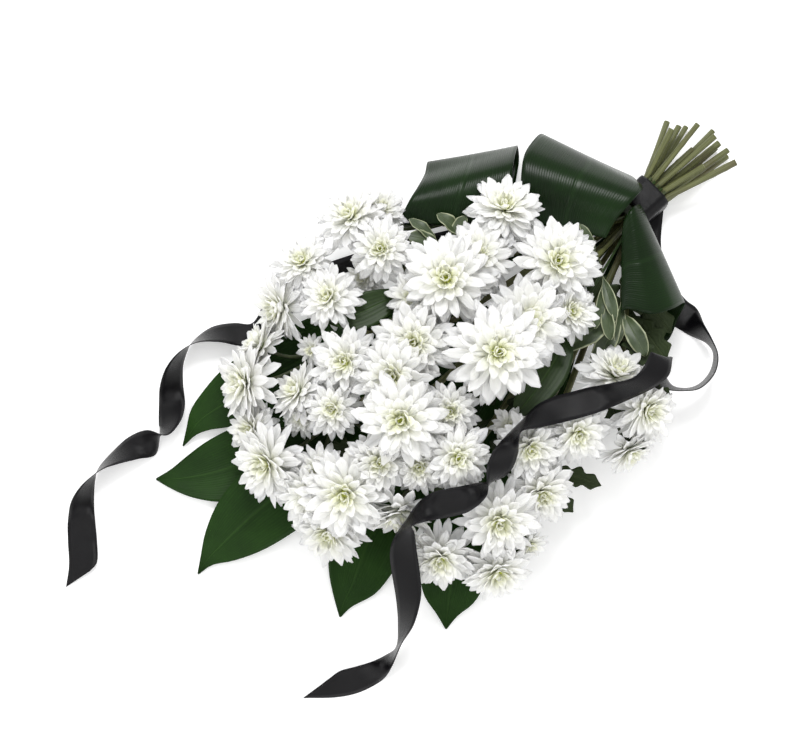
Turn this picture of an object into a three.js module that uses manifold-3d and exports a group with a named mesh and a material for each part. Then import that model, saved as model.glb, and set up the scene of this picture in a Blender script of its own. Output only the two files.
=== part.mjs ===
// A funeral sheaf lying on its back: fourteen sprays of white chrysanthemums,
// five flat aspidistra leaves behind them, three rolled ones as a collar round
// the neck, two small inner leaves, three sprigs of variegated pittosporum,
// a binding tie round the bundled stems and a black satin ribbon over it with
// two long tails. Millimetres, +Z up, +Y towards the cut stem ends, the origin
// on the surface under the middle of the box.
import * as THREE from 'three';
import { mergeVertices } from 'three/addons/utils/BufferGeometryUtils.js';
import Module from 'manifold-3d';

const wasm = await Module();
wasm.setup();

// ---- driving dimensions, mm
const STEM_R = 2.9;            // main stem of a spray
const BRANCH_R = 1.7;          // side stem up to one flower head
const TWIG_R = 1.3;            // pittosporum twig
const GAP = 0.45;              // clearance that a flower head keeps from its neighbours
const LEAF_T = 1.2;            // flat leaf blade
const ROLL_T = 1.4;            // rolled leaf blade
const RIBBON_T = 0.7;          // satin ribbon
const RIBBON_W = 25.4;         // satin ribbon, full width
const TIE_W = 8;               // binding tie, along the stems
const TIE_T = 1.0;
const BAND_T = 0.9;            // ribbon band round the stems
const HEAD_SEG = 9;            // facets round a flower head
// centre of the tie, mm
const TIE = [3.8,254.5,16.0];
// outline of the packed bundle at the tie, x from its centre and z, mm
const BUNDLE_OUTLINE = [[16.2,5.0],[15.8,21.0],[15.4,22.5],[14.3,23.6],[9.7,27.5],[-8.6,27.7],[-14.3,23.6],[-15.4,22.5],[-15.8,21.0],[-16.3,5.0],[-15.2,3.4],[14.1,3.2],[16.0,4.0]];
// each spray: its main stem from the cut end to the fork, its branches, its heads
// a head is [name, x, y, z, facing x, y, z, radius], and a leaf on the stem is
// [base x, y, z, tip x, y, z, half width, roll in degrees]
const SPRAYS = [
  { n: "01", stem: [[-23.6,311.5,33.0],[-9.0,268.5,21.0],[-9.0,227.5,21.0],[-97.4,104.3,41.3]],
    br: [[[-97.4,104.3,41.3],[-109.7,85.4,43.7],[-122.6,66.0,46.5],[-134.8,50.9,52.2],[-144.6,45.2,63.2]],[[-97.4,104.3,41.3],[-108.2,90.7,41.3],[-121.3,77.2,40.2],[-132.9,68.1,42.5],[-138.8,67.8,52.5]],[[-97.4,104.3,41.3],[-104.6,86.9,45.6],[-107.2,68.3,53.3],[-107.4,52.8,64.4],[-107.8,44.7,78.8]]],
    heads: [["H1",-148.4,45.5,70.0,-0.494,0.04,0.869,26.2],["H2",-139.5,69.8,58.0,-0.112,0.338,0.934,19.6],["H3",-108.3,43.4,86.0,-0.073,-0.178,0.981,24.3]],
    leaves: [] },
  { n: "02", stem: [[-34.9,321.0,3.4],[-9.0,268.5,9.9],[-9.0,227.5,9.9],[-97.1,41.9,36.0]],
    br: [[[-97.1,41.9,36.0],[-108.6,22.9,38.1],[-123.1,5.0,41.9],[-136.8,-7.9,49.2],[-146.0,-12.1,61.6]],[[-97.1,41.9,36.0],[-106.7,18.9,37.4],[-115.3,-4.7,38.5],[-123.3,-26.1,41.0],[-131.3,-42.1,46.4]],[[-97.1,41.9,36.0],[-102.3,24.2,40.4],[-103.8,6.8,49.7],[-104.3,-7.3,62.4],[-106.5,-15.1,77.3]],[[-97.1,41.9,36.0],[-99.2,35.8,38.3],[-99.7,31.1,43.3],[-100.1,26.9,50.2],[-101.8,22.2,58.1]]],
    heads: [["H5",-148.4,-11.5,68.0,-0.345,0.088,0.934,22.9],["H6",-135.1,-48.1,50.0,-0.485,-0.751,0.449,26.5],["H7",-108.2,-16.7,84.0,-0.238,-0.221,0.946,23.5],["H4",-103.2,19.7,62.0,-0.287,-0.516,0.807,16.1]],
    leaves: [[-88.6,59.7,33.5,-114.3,35.9,52.0,10,19.0]] },
  { n: "03", stem: [[-20.1,330.2,3.4],[-2.6,268.5,9.9],[-2.6,227.5,9.9],[-79.2,-25.9,27.0]],
    br: [[[-79.2,-25.9,27.0],[-85.3,-43.4,28.6],[-93.5,-59.8,31.9],[-104.0,-73.1,36.3],[-117.2,-81.5,41.6]],[[-79.2,-25.9,27.0],[-85.0,-48.8,28.8],[-90.2,-71.8,32.7],[-95.8,-92.2,38.6],[-102.8,-107.0,46.6]],[[-79.2,-25.9,27.0],[-77.6,-45.0,31.5],[-68.0,-63.1,41.4],[-59.9,-78.0,53.8],[-62.9,-86.9,65.6]],[[-79.2,-25.9,27.0],[-82.2,-34.7,30.0],[-84.8,-40.8,37.2],[-86.8,-46.3,47.3],[-88.3,-53.1,58.9]]],
    heads: [["H8",-123.3,-83.7,44.0,-0.885,-0.318,0.339,23.1],["H21",-107.7,-113.6,52.0,-0.494,-0.673,0.551,32.4],["H22",-67.7,-89.0,70.0,-0.706,-0.312,0.636,22.8],["H7b",-88.7,-55.2,62.0,-0.087,-0.561,0.823,12.7]],
    leaves: [[-71.8,-1.6,25.4,-102.9,-21.5,48.0,11,-11.0]] },
  { n: "04", stem: [[-1.0,345.2,3.4],[3.8,268.5,9.9],[3.8,227.5,9.9],[-34.3,-69.4,29.0]],
    br: [[[-34.3,-69.4,29.0],[-36.3,-89.6,30.9],[-37.7,-109.6,35.2],[-39.1,-127.3,42.4],[-41.0,-140.9,52.8]],[[-34.3,-69.4,29.0],[-40.6,-88.8,28.7],[-51.8,-106.7,28.2],[-63.9,-122.1,30.7],[-72.6,-133.7,39.2]],[[-34.3,-69.4,29.0],[-37.4,-79.3,31.5],[-42.6,-86.3,37.9],[-47.8,-92.1,47.4],[-51.2,-98.4,59.7]],[[-34.3,-69.4,29.0],[-30.5,-89.7,31.9],[-18.7,-107.9,38.5],[-5.7,-123.1,48.3],[1.5,-134.3,60.8]]],
    heads: [["H27",-42.4,-147.2,60.0,-0.143,-0.658,0.739,32.3],["H28",-74.8,-137.3,44.0,-0.341,-0.561,0.754,21.4],["H25",-51.8,-100.6,64.0,-0.116,-0.461,0.88,16.1],["H29",2.6,-139.0,68.0,0.126,-0.541,0.831,28.8]],
    leaves: [[-27.0,-12.4,25.3,-22.7,-54.9,40.0,12,-5.0],[-32.5,-55.1,28.1,-52.0,-86.3,40.0,11,-0.0]] },
  { n: "05", stem: [[0.3,316.6,17.5],[0.6,268.5,15.4],[0.6,227.5,15.4],[3.4,-54.8,46.0]],
    br: [[[3.4,-54.8,46.0],[5.9,-73.7,49.2],[11.4,-91.7,55.4],[17.5,-106.4,64.9],[21.6,-115.7,78.2]],[[3.4,-54.8,46.0],[6.9,-79.6,45.9],[15.1,-104.3,43.7],[24.5,-125.9,43.7],[31.4,-141.4,49.9]],[[3.4,-54.8,46.0],[1.3,-73.9,47.7],[-3.3,-93.0,50.6],[-7.4,-109.1,56.9],[-8.2,-119.2,68.6]],[[3.4,-54.8,46.0],[-2.7,-65.5,49.1],[-16.2,-70.4,55.7],[-29.7,-73.0,65.8],[-35.9,-76.6,79.6]]],
    heads: [["H30",23.0,-119.5,88.0,0.13,-0.355,0.926,35.2],["H31",34.0,-147.9,56.0,0.279,-0.7,0.658,30.7],["H32",-7.6,-121.3,74.0,0.107,-0.371,0.922,19.4],["H24",-36.0,-78.7,86.0,-0.009,-0.317,0.948,22.7]],
    leaves: [[8.7,-82.7,52.3,-18.0,-104.1,50.0,12,15.0],[-22.9,-71.7,60.8,-62.5,-44.2,60.0,12,15.0],[2.9,-0.6,40.1,-4.4,-36.7,46.0,12,17.0]] },
  { n: "06", stem: [[-23.2,322.2,17.5],[-5.8,268.5,15.4],[-5.8,227.5,15.4],[-26.6,40.0,70.0]],
    br: [[[-26.6,40.0,70.0],[-32.9,15.2,72.4],[-42.8,-10.5,71.9],[-52.2,-31.6,74.0],[-57.0,-42.7,84.0]],[[-26.6,40.0,70.0],[-27.1,20.8,73.7],[-25.0,1.0,77.6],[-22.0,-15.3,84.4],[-20.1,-24.2,96.8]],[[-26.6,40.0,70.0],[-27.7,30.1,72.5],[-28.3,20.7,76.1],[-28.6,13.2,82.2],[-28.7,8.8,92.4]]],
    heads: [["H23",-57.5,-44.9,92.0,-0.07,-0.261,0.963,27.6],["H19",-19.6,-26.4,106.0,0.05,-0.234,0.971,31.6],["H15",-28.7,7.0,102.0,0.002,-0.181,0.983,32.5]],
    leaves: [[-22.6,76.0,59.5,-47.5,38.5,46.0,13,-13.0],[-21.6,85.0,56.9,-53.6,97.3,44.0,10,9.0]] },
  { n: "07", stem: [[12.0,337.3,17.5],[7.0,268.5,15.4],[7.0,227.5,15.4],[24.6,11.8,74.0]],
    br: [[[24.6,11.8,74.0],[23.0,-6.3,78.6],[17.7,-23.9,84.8],[12.5,-38.0,94.1],[11.3,-45.4,107.6]],[[24.6,11.8,74.0],[25.2,-14.8,76.8],[24.0,-43.1,77.3],[22.9,-66.7,80.3],[23.7,-79.2,90.7]],[[24.6,11.8,74.0],[28.6,-9.1,76.1],[35.4,-30.5,76.5],[42.6,-48.3,79.5],[47.8,-58.1,89.9]],[[24.6,11.8,74.0],[25.7,4.2,76.8],[27.4,-1.8,81.5],[29.6,-6.4,88.4],[31.8,-9.6,97.6]]],
    heads: [["H26",12.6,-47.4,118.0,0.123,-0.187,0.975,35.5],["H33",24.8,-81.4,98.0,0.145,-0.288,0.947,25.8],["H35",49.1,-59.9,96.0,0.202,-0.27,0.942,21.7],["H36",33.2,-11.1,104.0,0.208,-0.227,0.951,22.4]],
    leaves: [[19.5,73.9,57.1,1.5,33.8,44.0,14,25.0],[23.7,-49.0,78.0,34.0,-89.8,44.0,11,3.0],[18.7,84.3,54.3,59.9,108.2,48.0,12,19.0],[14.5,136.0,40.2,67.7,125.2,40.0,12,-14.0]] },
  { n: "08", stem: [[6.7,334.6,33.0],[3.8,268.5,21.0],[3.8,227.5,21.0],[-34.3,124.1,66.0]],
    br: [[[-34.3,124.1,66.0],[-39.0,105.6,71.3],[-43.3,86.1,76.4],[-46.6,70.4,84.0],[-48.3,63.2,96.8]],[[-34.3,124.1,66.0],[-41.1,98.8,69.8],[-48.1,71.0,69.0],[-54.2,47.8,70.0],[-58.4,36.3,79.5]],[[-34.3,124.1,66.0],[-37.2,115.0,68.5],[-40.6,105.8,71.1],[-43.7,98.9,75.8],[-45.8,96.3,84.8]]],
    heads: [["H13",-48.7,62.3,108.0,-0.042,-0.079,0.996,37.3],["H14",-59.6,34.9,86.0,-0.173,-0.205,0.963,22.7],["H12",-46.7,96.6,94.0,-0.106,0.033,0.994,30.9]],
    leaves: [[-51.2,59.4,69.5,-76.6,65.5,46.0,10,-22.0]] },
  { n: "09", stem: [[-11.2,331.3,33.0],[-2.6,268.5,21.0],[-2.6,227.5,21.0],[-18.1,186.0,50.0]],
    br: [[[-18.1,186.0,50.0],[-26.1,170.1,54.6],[-38.2,154.3,56.9],[-50.6,143.3,61.1],[-59.4,141.5,71.4]],[[-18.1,186.0,50.0],[-22.5,173.3,51.2],[-27.7,158.7,48.9],[-32.0,147.5,49.0],[-33.7,144.8,57.5]],[[-18.1,186.0,50.0],[-18.2,171.1,56.7],[-12.3,156.4,64.1],[-4.8,145.4,73.8],[0.2,141.5,87.6]]],
    heads: [["H9",-62.8,144.0,80.0,-0.354,0.26,0.898,32.0],["H10",-33.6,145.7,62.0,0.023,0.213,0.977,15.3],["H11",1.6,142.1,98.0,0.135,0.056,0.989,35.0]],
    leaves: [] },
  { n: "10", stem: [[19.6,308.6,33.0],[10.2,268.5,21.0],[10.2,227.5,21.0],[20.0,147.1,76.7]],
    br: [[[20.0,147.1,76.7],[22.1,118.6,87.1],[22.5,86.8,94.1],[22.6,60.6,101.9],[24.1,49.0,114.4]],[[20.0,147.1,76.7],[20.9,129.5,81.1],[20.4,109.4,82.1],[20.0,93.2,85.1],[21.3,87.0,95.7]],[[20.0,147.1,76.7],[22.6,138.3,77.8],[27.4,128.7,76.0],[32.6,121.6,75.8],[36.6,120.1,81.4]]],
    heads: [["H17",26.0,48.1,126.0,0.163,-0.08,0.983,39.5],["H16",23.1,87.5,106.0,0.165,0.052,0.985,34.9],["H18",38.5,121.8,88.0,0.266,0.234,0.935,23.5]],
    leaves: [[16.7,174.1,58.0,30.5,125.2,36.0,13,-3.0]] },
  { n: "11", stem: [[12.0,336.2,3.4],[10.2,268.5,9.9],[10.2,227.5,9.9],[66.5,-14.0,46.0]],
    br: [[[66.5,-14.0,46.0],[67.2,-24.1,52.1],[64.9,-28.1,65.1],[62.8,-29.5,81.7],[64.0,-31.3,98.4]],[[66.5,-14.0,46.0],[65.7,-35.0,51.0],[58.7,-55.7,59.4],[53.3,-74.4,67.8],[57.2,-89.1,72.8]],[[66.5,-14.0,46.0],[74.8,-36.9,45.8],[87.0,-59.0,43.3],[99.6,-77.8,43.1],[109.4,-90.6,49.9]]],
    heads: [["H37",65.9,-32.8,106.0,0.241,-0.192,0.951,26.6],["H34",62.7,-95.3,74.0,0.665,-0.734,0.14,27.9],["H44",113.1,-95.2,56.0,0.436,-0.539,0.721,28.1]],
    leaves: [[50.3,55.6,35.6,25.4,18.2,56.0,14,-6.0],[50.3,55.6,35.6,84.3,18.6,60.0,13,-5.0],[53.0,44.0,37.3,102.1,21.4,42.0,13,8.0],[66.3,-19.2,47.2,68.9,-64.2,40.0,12,-22.0],[36.8,113.5,26.9,53.7,67.9,30.0,15,10.0],[58.4,20.8,40.8,38.6,-24.2,26.0,14,0.0]] },
  { n: "12", stem: [[22.0,338.6,17.5],[13.4,268.5,15.4],[13.4,227.5,15.4],[118.2,9.1,30.0]],
    br: [[[118.2,9.1,30.0],[121.2,-5.6,34.4],[119.4,-19.1,44.2],[117.6,-30.2,57.4],[120.7,-37.6,71.6]],[[118.2,9.1,30.0],[125.7,-11.6,31.0],[131.9,-33.3,32.8],[138.5,-52.0,36.9],[147.4,-64.0,44.8]],[[118.2,9.1,30.0],[124.8,-4.1,31.1],[132.4,-16.2,33.5],[141.4,-25.9,38.5],[152.2,-31.9,47.1]]],
    heads: [["H42",124.9,-40.6,80.0,0.428,-0.31,0.849,32.8],["H45",152.9,-67.7,50.0,0.648,-0.446,0.617,28.2],["H43",155.4,-32.9,50.0,0.717,-0.23,0.658,14.5]],
    leaves: [[113.2,19.6,29.3,161.4,47.7,34.5,9,-11.0],[88.0,72.0,25.8,137.1,58.6,44.0,12,-3.0],[119.9,-15.7,41.8,125.1,-52.5,30.0,11,9.0],[144.1,-27.4,40.6,162.9,-30.6,33.4,10,20.0],[134.7,-18.6,34.8,155.2,-51.5,30.0,10,19.0],[118.2,9.1,30.0,161.3,15.0,30.0,10,-24.0]] },
  { n: "13", stem: [[36.1,331.6,33.0],[16.6,268.5,21.0],[16.6,227.5,21.0],[77.6,70.4,52.0]],
    br: [[[77.6,70.4,52.0],[82.4,54.4,56.1],[85.8,38.7,62.8],[89.5,26.0,72.3],[95.3,19.1,85.0]],[[77.6,70.4,52.0],[87.5,49.5,53.7],[100.0,28.9,53.7],[113.2,12.4,55.8],[125.1,3.6,63.7]],[[77.6,70.4,52.0],[78.7,55.2,55.0],[74.4,39.5,59.7],[70.0,26.7,67.5],[70.9,19.9,80.0]]],
    heads: [["H39",98.9,17.6,92.0,0.449,-0.185,0.874,26.8],["H41",130.7,1.7,70.0,0.645,-0.219,0.732,28.8],["H46",72.3,19.2,84.0,0.325,-0.161,0.932,14.3]],
    leaves: [[119.2,8.0,59.8,148.4,-0.4,62.0,11,1.0],[76.6,47.4,57.4,79.8,-2.0,40.0,15,-23.0],[54.2,130.7,40.1,122.0,121.9,30.0,14,-25.0],[57.1,123.2,41.6,29.6,66.7,34.0,14,-15.0]] },
  { n: "14", stem: [[23.9,338.2,3.4],[16.6,268.5,9.9],[16.6,227.5,9.9],[90.6,141.7,36.0]],
    br: [[[90.6,141.7,36.0],[98.4,129.3,39.5],[105.4,115.5,46.1],[109.0,106.7,55.0],[107.1,108.9,65.6]],[[90.6,141.7,36.0],[100.1,130.7,38.6],[110.7,121.5,42.8],[121.9,115.6,49.6],[133.2,114.3,59.6]],[[90.6,141.7,36.0],[103.9,124.4,38.1],[118.0,107.6,39.4],[132.8,93.9,41.0],[148.1,86.0,44.2]],[[90.6,141.7,36.0],[100.8,117.7,41.9],[104.3,90.5,51.7],[106.2,67.8,64.0],[111.7,57.1,77.5]]],
    heads: [["H20",103.8,114.6,72.0,-0.352,0.619,0.702,30.4],["H47",139.3,115.1,66.0,0.685,0.09,0.723,29.7],["H48",154.6,84.3,46.0,0.933,-0.245,0.263,23.1],["H40",116.0,56.2,84.0,0.548,-0.126,0.827,26.0]],
    leaves: [[144.3,88.0,43.4,164.3,98.2,41.2,9,-22.0],[72.8,162.3,29.7,112.1,140.3,56.0,14,-23.0],[101.7,110.9,44.4,130.2,94.0,50.0,13,24.0],[110.7,121.5,42.8,149.4,141.5,44.0,12,20.0]] },
];
// each leaf: rows from the tip to the end of its stalk, [left edge, midrib, right edge, thickness]
const LEAVES = {
  aspidistra_leaf_01: [
    [[-113.3,-189.8,3.0],[-112.8,-189.6,2.9],[-112.2,-189.4,3.0],1.2],
    [[-121.5,-177.5,6.0],[-116.6,-176.4,5.5],[-111.8,-175.2,6.0],1.2],
    [[-130.8,-163.7,8.0],[-118.8,-163.6,6.8],[-106.8,-163.6,8.0],1.2],
    [[-135.4,-144.3,10.0],[-116.7,-147.7,8.1],[-98.0,-151.1,10.0],1.2],
    [[-137.7,-117.1,12.0],[-111.3,-123.1,9.3],[-85.0,-129.0,12.0],1.2],
    [[-132.6,-82.1,13.0],[-103.4,-89.0,10.0],[-74.2,-95.9,13.0],1.2],
    [[-123.1,-42.4,12.5],[-94.1,-50.3,10.1],[-65.2,-58.2,12.5],1.2],
    [[-109.5,-4.7,11.5],[-82.8,-13.2,9.8],[-56.2,-21.8,11.5],1.2],
    [[-91.9,35.3,11.0],[-69.1,27.7,9.8],[-46.4,20.1,11.0],1.2],
    [[-71.6,73.8,10.6],[-55.4,68.8,9.9],[-39.1,63.8,10.6],1.2],
    [[-52.4,109.0,9.6],[-44.6,106.9,9.3],[-36.9,104.8,9.6],1.2],
    [[-39.5,133.6,8.4],[-37.8,133.1,8.3],[-36.0,132.6,8.4],1.2],
    [[-30.1,165.2,6.5],[-28.7,164.7,6.3],[-27.2,164.1,6.5],2.6],
    [[-3.8,227.9,5.0],[-2.3,227.5,4.8],[-0.8,227.2,5.0],2.6],
    [[-3.8,269.5,5.0],[-2.3,269.5,4.8],[-0.8,269.5,5.0],2.6],
  ],
  aspidistra_leaf_02: [
    [[-108.0,-225.7,1.6],[-107.5,-226.1,1.5],[-107.1,-226.5,1.6],1.2],
    [[-104.8,-211.1,3.4],[-98.4,-216.6,2.5],[-91.9,-222.1,3.4],1.2],
    [[-103.7,-193.9,5.0],[-88.8,-204.0,3.2],[-73.9,-214.1,5.0],1.2],
    [[-101.4,-173.2,6.5],[-77.6,-185.9,3.8],[-53.8,-198.7,6.5],1.2],
    [[-94.4,-146.9,7.0],[-65.1,-159.8,3.8],[-35.8,-172.7,7.0],1.2],
    [[-82.3,-114.8,7.0],[-51.1,-125.6,3.7],[-19.9,-136.3,7.0],1.2],
    [[-71.5,-80.6,6.4],[-40.4,-88.2,3.8],[-9.3,-95.9,6.4],1.2],
    [[-62.3,-46.3,5.4],[-32.8,-51.5,3.6],[-3.2,-56.7,5.4],1.2],
    [[-53.3,-6.1,4.6],[-26.6,-9.6,3.2],[0.2,-13.1,4.6],1.2],
    [[-42.4,36.0,4.2],[-21.6,33.6,3.4],[-0.7,31.3,4.2],1.2],
    [[-28.0,76.3,4.2],[-17.1,75.1,3.8],[-6.1,73.8,4.2],1.2],
    [[-14.1,113.0,4.6],[-12.3,112.9,4.5],[-10.5,112.7,4.6],1.2],
    [[-10.9,152.6,6.0],[-9.4,152.4,5.8],[-7.9,152.3,6.0],2.6],
    [[0.3,227.7,5.0],[1.8,227.5,4.8],[3.2,227.4,5.0],2.6],
    [[0.3,269.5,5.0],[1.8,269.5,4.8],[3.3,269.5,5.0],2.6],
  ],
  aspidistra_leaf_03: [
    [[-22.1,-254.9,1.6],[-21.5,-254.7,1.5],[-20.9,-254.6,1.6],1.2],
    [[-30.8,-243.1,4.0],[-24.8,-242.2,3.4],[-18.9,-241.3,4.0],1.2],
    [[-42.8,-226.6,7.0],[-25.8,-225.9,5.3],[-8.8,-225.2,7.0],1.2],
    [[-54.4,-201.6,10.0],[-26.4,-201.7,7.2],[1.6,-201.8,10.0],1.2],
    [[-59.5,-170.1,12.5],[-25.5,-172.0,9.1],[8.4,-173.9,12.5],1.2],
    [[-58.5,-129.7,14.0],[-22.7,-133.6,10.4],[13.1,-137.5,14.0],1.2],
    [[-51.7,-89.5,13.5],[-17.0,-94.2,10.7],[17.7,-99.0,13.5],1.2],
    [[-43.8,-52.2,12.4],[-12.0,-55.2,10.5],[19.9,-58.3,12.4],1.2],
    [[-37.9,-9.1,11.4],[-9.0,-10.6,9.9],[20.0,-12.1,11.4],1.2],
    [[-30.2,36.4,10.8],[-7.2,35.5,9.9],[15.8,34.6,10.8],1.2],
    [[-17.4,82.4,10.2],[-5.4,81.9,9.7],[6.5,81.3,10.2],1.2],
    [[-5.2,119.9,9.0],[-3.4,119.8,8.9],[-1.6,119.7,9.0],1.2],
    [[-2.2,156.4,6.5],[-0.7,156.3,6.3],[0.8,156.2,6.5],2.6],
    [[4.3,227.6,5.0],[5.8,227.5,4.8],[7.3,227.4,5.0],2.6],
    [[4.3,269.5,5.0],[5.8,269.5,4.8],[7.3,269.5,5.0],2.6],
  ],
  aspidistra_leaf_04: [
    [[88.6,-190.6,1.6],[89.1,-190.3,1.5],[89.6,-190.0,1.6],1.2],
    [[76.0,-184.2,3.4],[82.8,-180.9,2.6],[89.5,-177.6,3.4],1.2],
    [[57.2,-173.1,5.0],[76.2,-164.3,2.9],[95.2,-155.4,5.0],1.2],
    [[40.4,-158.6,6.0],[66.5,-145.8,3.1],[92.5,-133.0,6.0],1.2],
    [[25.2,-135.3,7.0],[55.9,-123.1,3.7],[86.6,-110.9,7.0],1.2],
    [[13.1,-103.2,7.6],[45.7,-93.5,4.5],[78.3,-83.9,7.6],1.2],
    [[4.8,-66.8,7.8],[37.0,-59.5,5.8],[69.2,-52.1,7.8],1.2],
    [[-1.1,-28.0,7.6],[29.4,-22.7,6.0],[60.0,-17.3,7.6],1.2],
    [[-4.3,13.9,7.4],[23.5,17.5,6.3],[51.3,21.1,7.4],1.2],
    [[-4.1,57.0,7.2],[18.8,59.1,6.5],[41.7,61.2,7.2],1.2],
    [[3.9,99.9,7.0],[15.9,100.4,6.6],[27.9,100.9,7.0],1.2],
    [[13.9,135.7,6.4],[15.7,135.8,6.3],[17.5,135.8,6.4],1.2],
    [[13.6,165.4,6.0],[15.1,165.5,5.8],[16.6,165.6,6.0],2.6],
    [[8.4,227.4,5.0],[9.9,227.5,4.8],[11.4,227.6,5.0],2.6],
    [[8.4,269.5,5.0],[9.9,269.5,4.8],[11.4,269.5,5.0],2.6],
  ],
  aspidistra_leaf_05: [
    [[158.2,-131.1,1.6],[158.7,-130.7,1.5],[159.1,-130.3,1.6],1.2],
    [[143.8,-128.0,4.0],[150.6,-122.1,3.1],[157.4,-116.2,4.0],1.2],
    [[126.2,-125.4,7.0],[142.5,-112.2,4.9],[158.9,-99.1,7.0],1.2],
    [[109.5,-115.6,10.0],[131.9,-98.8,7.2],[154.4,-82.1,10.0],1.2],
    [[92.5,-98.5,12.0],[119.3,-81.1,8.8],[146.2,-63.7,12.0],1.2],
    [[74.5,-72.5,13.0],[104.6,-56.7,9.6],[134.6,-40.8,13.0],1.2],
    [[59.4,-40.2,12.6],[90.7,-27.0,9.9],[122.0,-13.8,12.6],1.2],
    [[47.7,-4.1,12.0],[77.9,6.6,10.1],[108.0,17.2,12.0],1.2],
    [[38.3,34.4,11.4],[66.1,42.8,9.9],[93.8,51.3,11.4],1.2],
    [[32.2,74.4,11.0],[55.4,80.6,10.0],[78.6,86.8,11.0],1.2],
    [[33.3,115.6,10.4],[45.9,118.6,9.9],[58.6,121.7,10.4],1.2],
    [[36.6,151.0,9.0],[38.4,151.4,8.9],[40.1,151.9,9.0],1.2],
    [[28.8,178.5,6.5],[30.2,179.0,6.3],[31.7,179.4,6.5],2.6],
    [[12.4,227.3,5.0],[13.9,227.5,4.8],[15.4,227.8,5.0],2.6],
    [[12.4,269.5,5.0],[13.9,269.5,4.8],[15.4,269.5,5.0],2.6],
  ],
  inner_leaf_01: [
    [[-98.2,-33.0,80.0],[-97.8,-33.3,80.0],[-97.4,-33.7,80.0],1.0],
    [[-96.2,-21.3,81.0],[-90.8,-24.8,80.3],[-85.3,-28.4,81.0],1.0],
    [[-97.1,-8.1,81.0],[-84.6,-13.2,79.7],[-72.2,-18.4,81.0],1.0],
    [[-93.8,7.0,80.0],[-79.5,2.7,78.5],[-65.1,-1.7,80.0],1.0],
    [[-82.4,25.3,76.0],[-73.7,22.7,75.1],[-65.1,20.1,76.0],1.0],
    [[-69.3,41.0,70.0],[-68.1,40.7,69.9],[-67.0,40.5,70.0],1.0],
    [[-58.6,99.1,60.0],[-57.5,98.9,59.9],[-56.4,98.6,60.0],1.8],
    [[-47.1,150.3,52.0],[-46.0,150.0,51.9],[-45.0,149.7,52.0],1.8],
    [[-33.4,189.9,52.0],[-32.3,189.4,51.9],[-31.3,189.0,52.0],1.8],
    [[-19.1,214.6,44.0],[-18.3,213.9,43.9],[-17.4,213.2,44.0],1.8],
    [[-1.5,227.9,25.9],[-0.5,227.5,25.8],[0.6,227.2,25.9],1.8],
    [[-1.6,269.5,25.9],[-0.5,269.5,25.8],[0.6,269.5,25.9],1.8],
  ],
  inner_leaf_02: [
    [[70.3,25.4,82.0],[70.8,25.5,82.0],[71.3,25.5,82.0],1.0],
    [[59.8,38.9,84.0],[69.8,40.1,83.0],[79.7,41.3,84.0],1.0],
    [[52.0,56.2,84.0],[66.7,59.2,82.5],[81.4,62.3,84.0],1.0],
    [[46.2,75.1,82.0],[61.6,79.3,80.4],[77.1,83.5,82.0],1.0],
    [[46.2,96.3,77.0],[55.7,99.3,76.0],[65.2,102.4,77.0],1.0],
    [[48.6,115.9,70.0],[49.7,116.3,69.9],[50.8,116.7,70.0],1.0],
    [[34.1,154.8,58.0],[35.1,155.1,57.9],[36.2,155.5,58.0],1.8],
    [[23.5,189.8,50.0],[24.5,190.1,49.9],[25.5,190.4,50.0],1.8],
    [[13.9,217.2,38.0],[14.9,217.7,37.9],[15.9,218.1,38.0],1.8],
    [[7.0,227.4,25.9],[8.1,227.5,25.8],[9.2,227.7,25.9],1.8],
    [[7.0,269.5,25.9],[8.1,269.5,25.8],[9.2,269.5,25.9],1.8],
  ],
};
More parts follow.
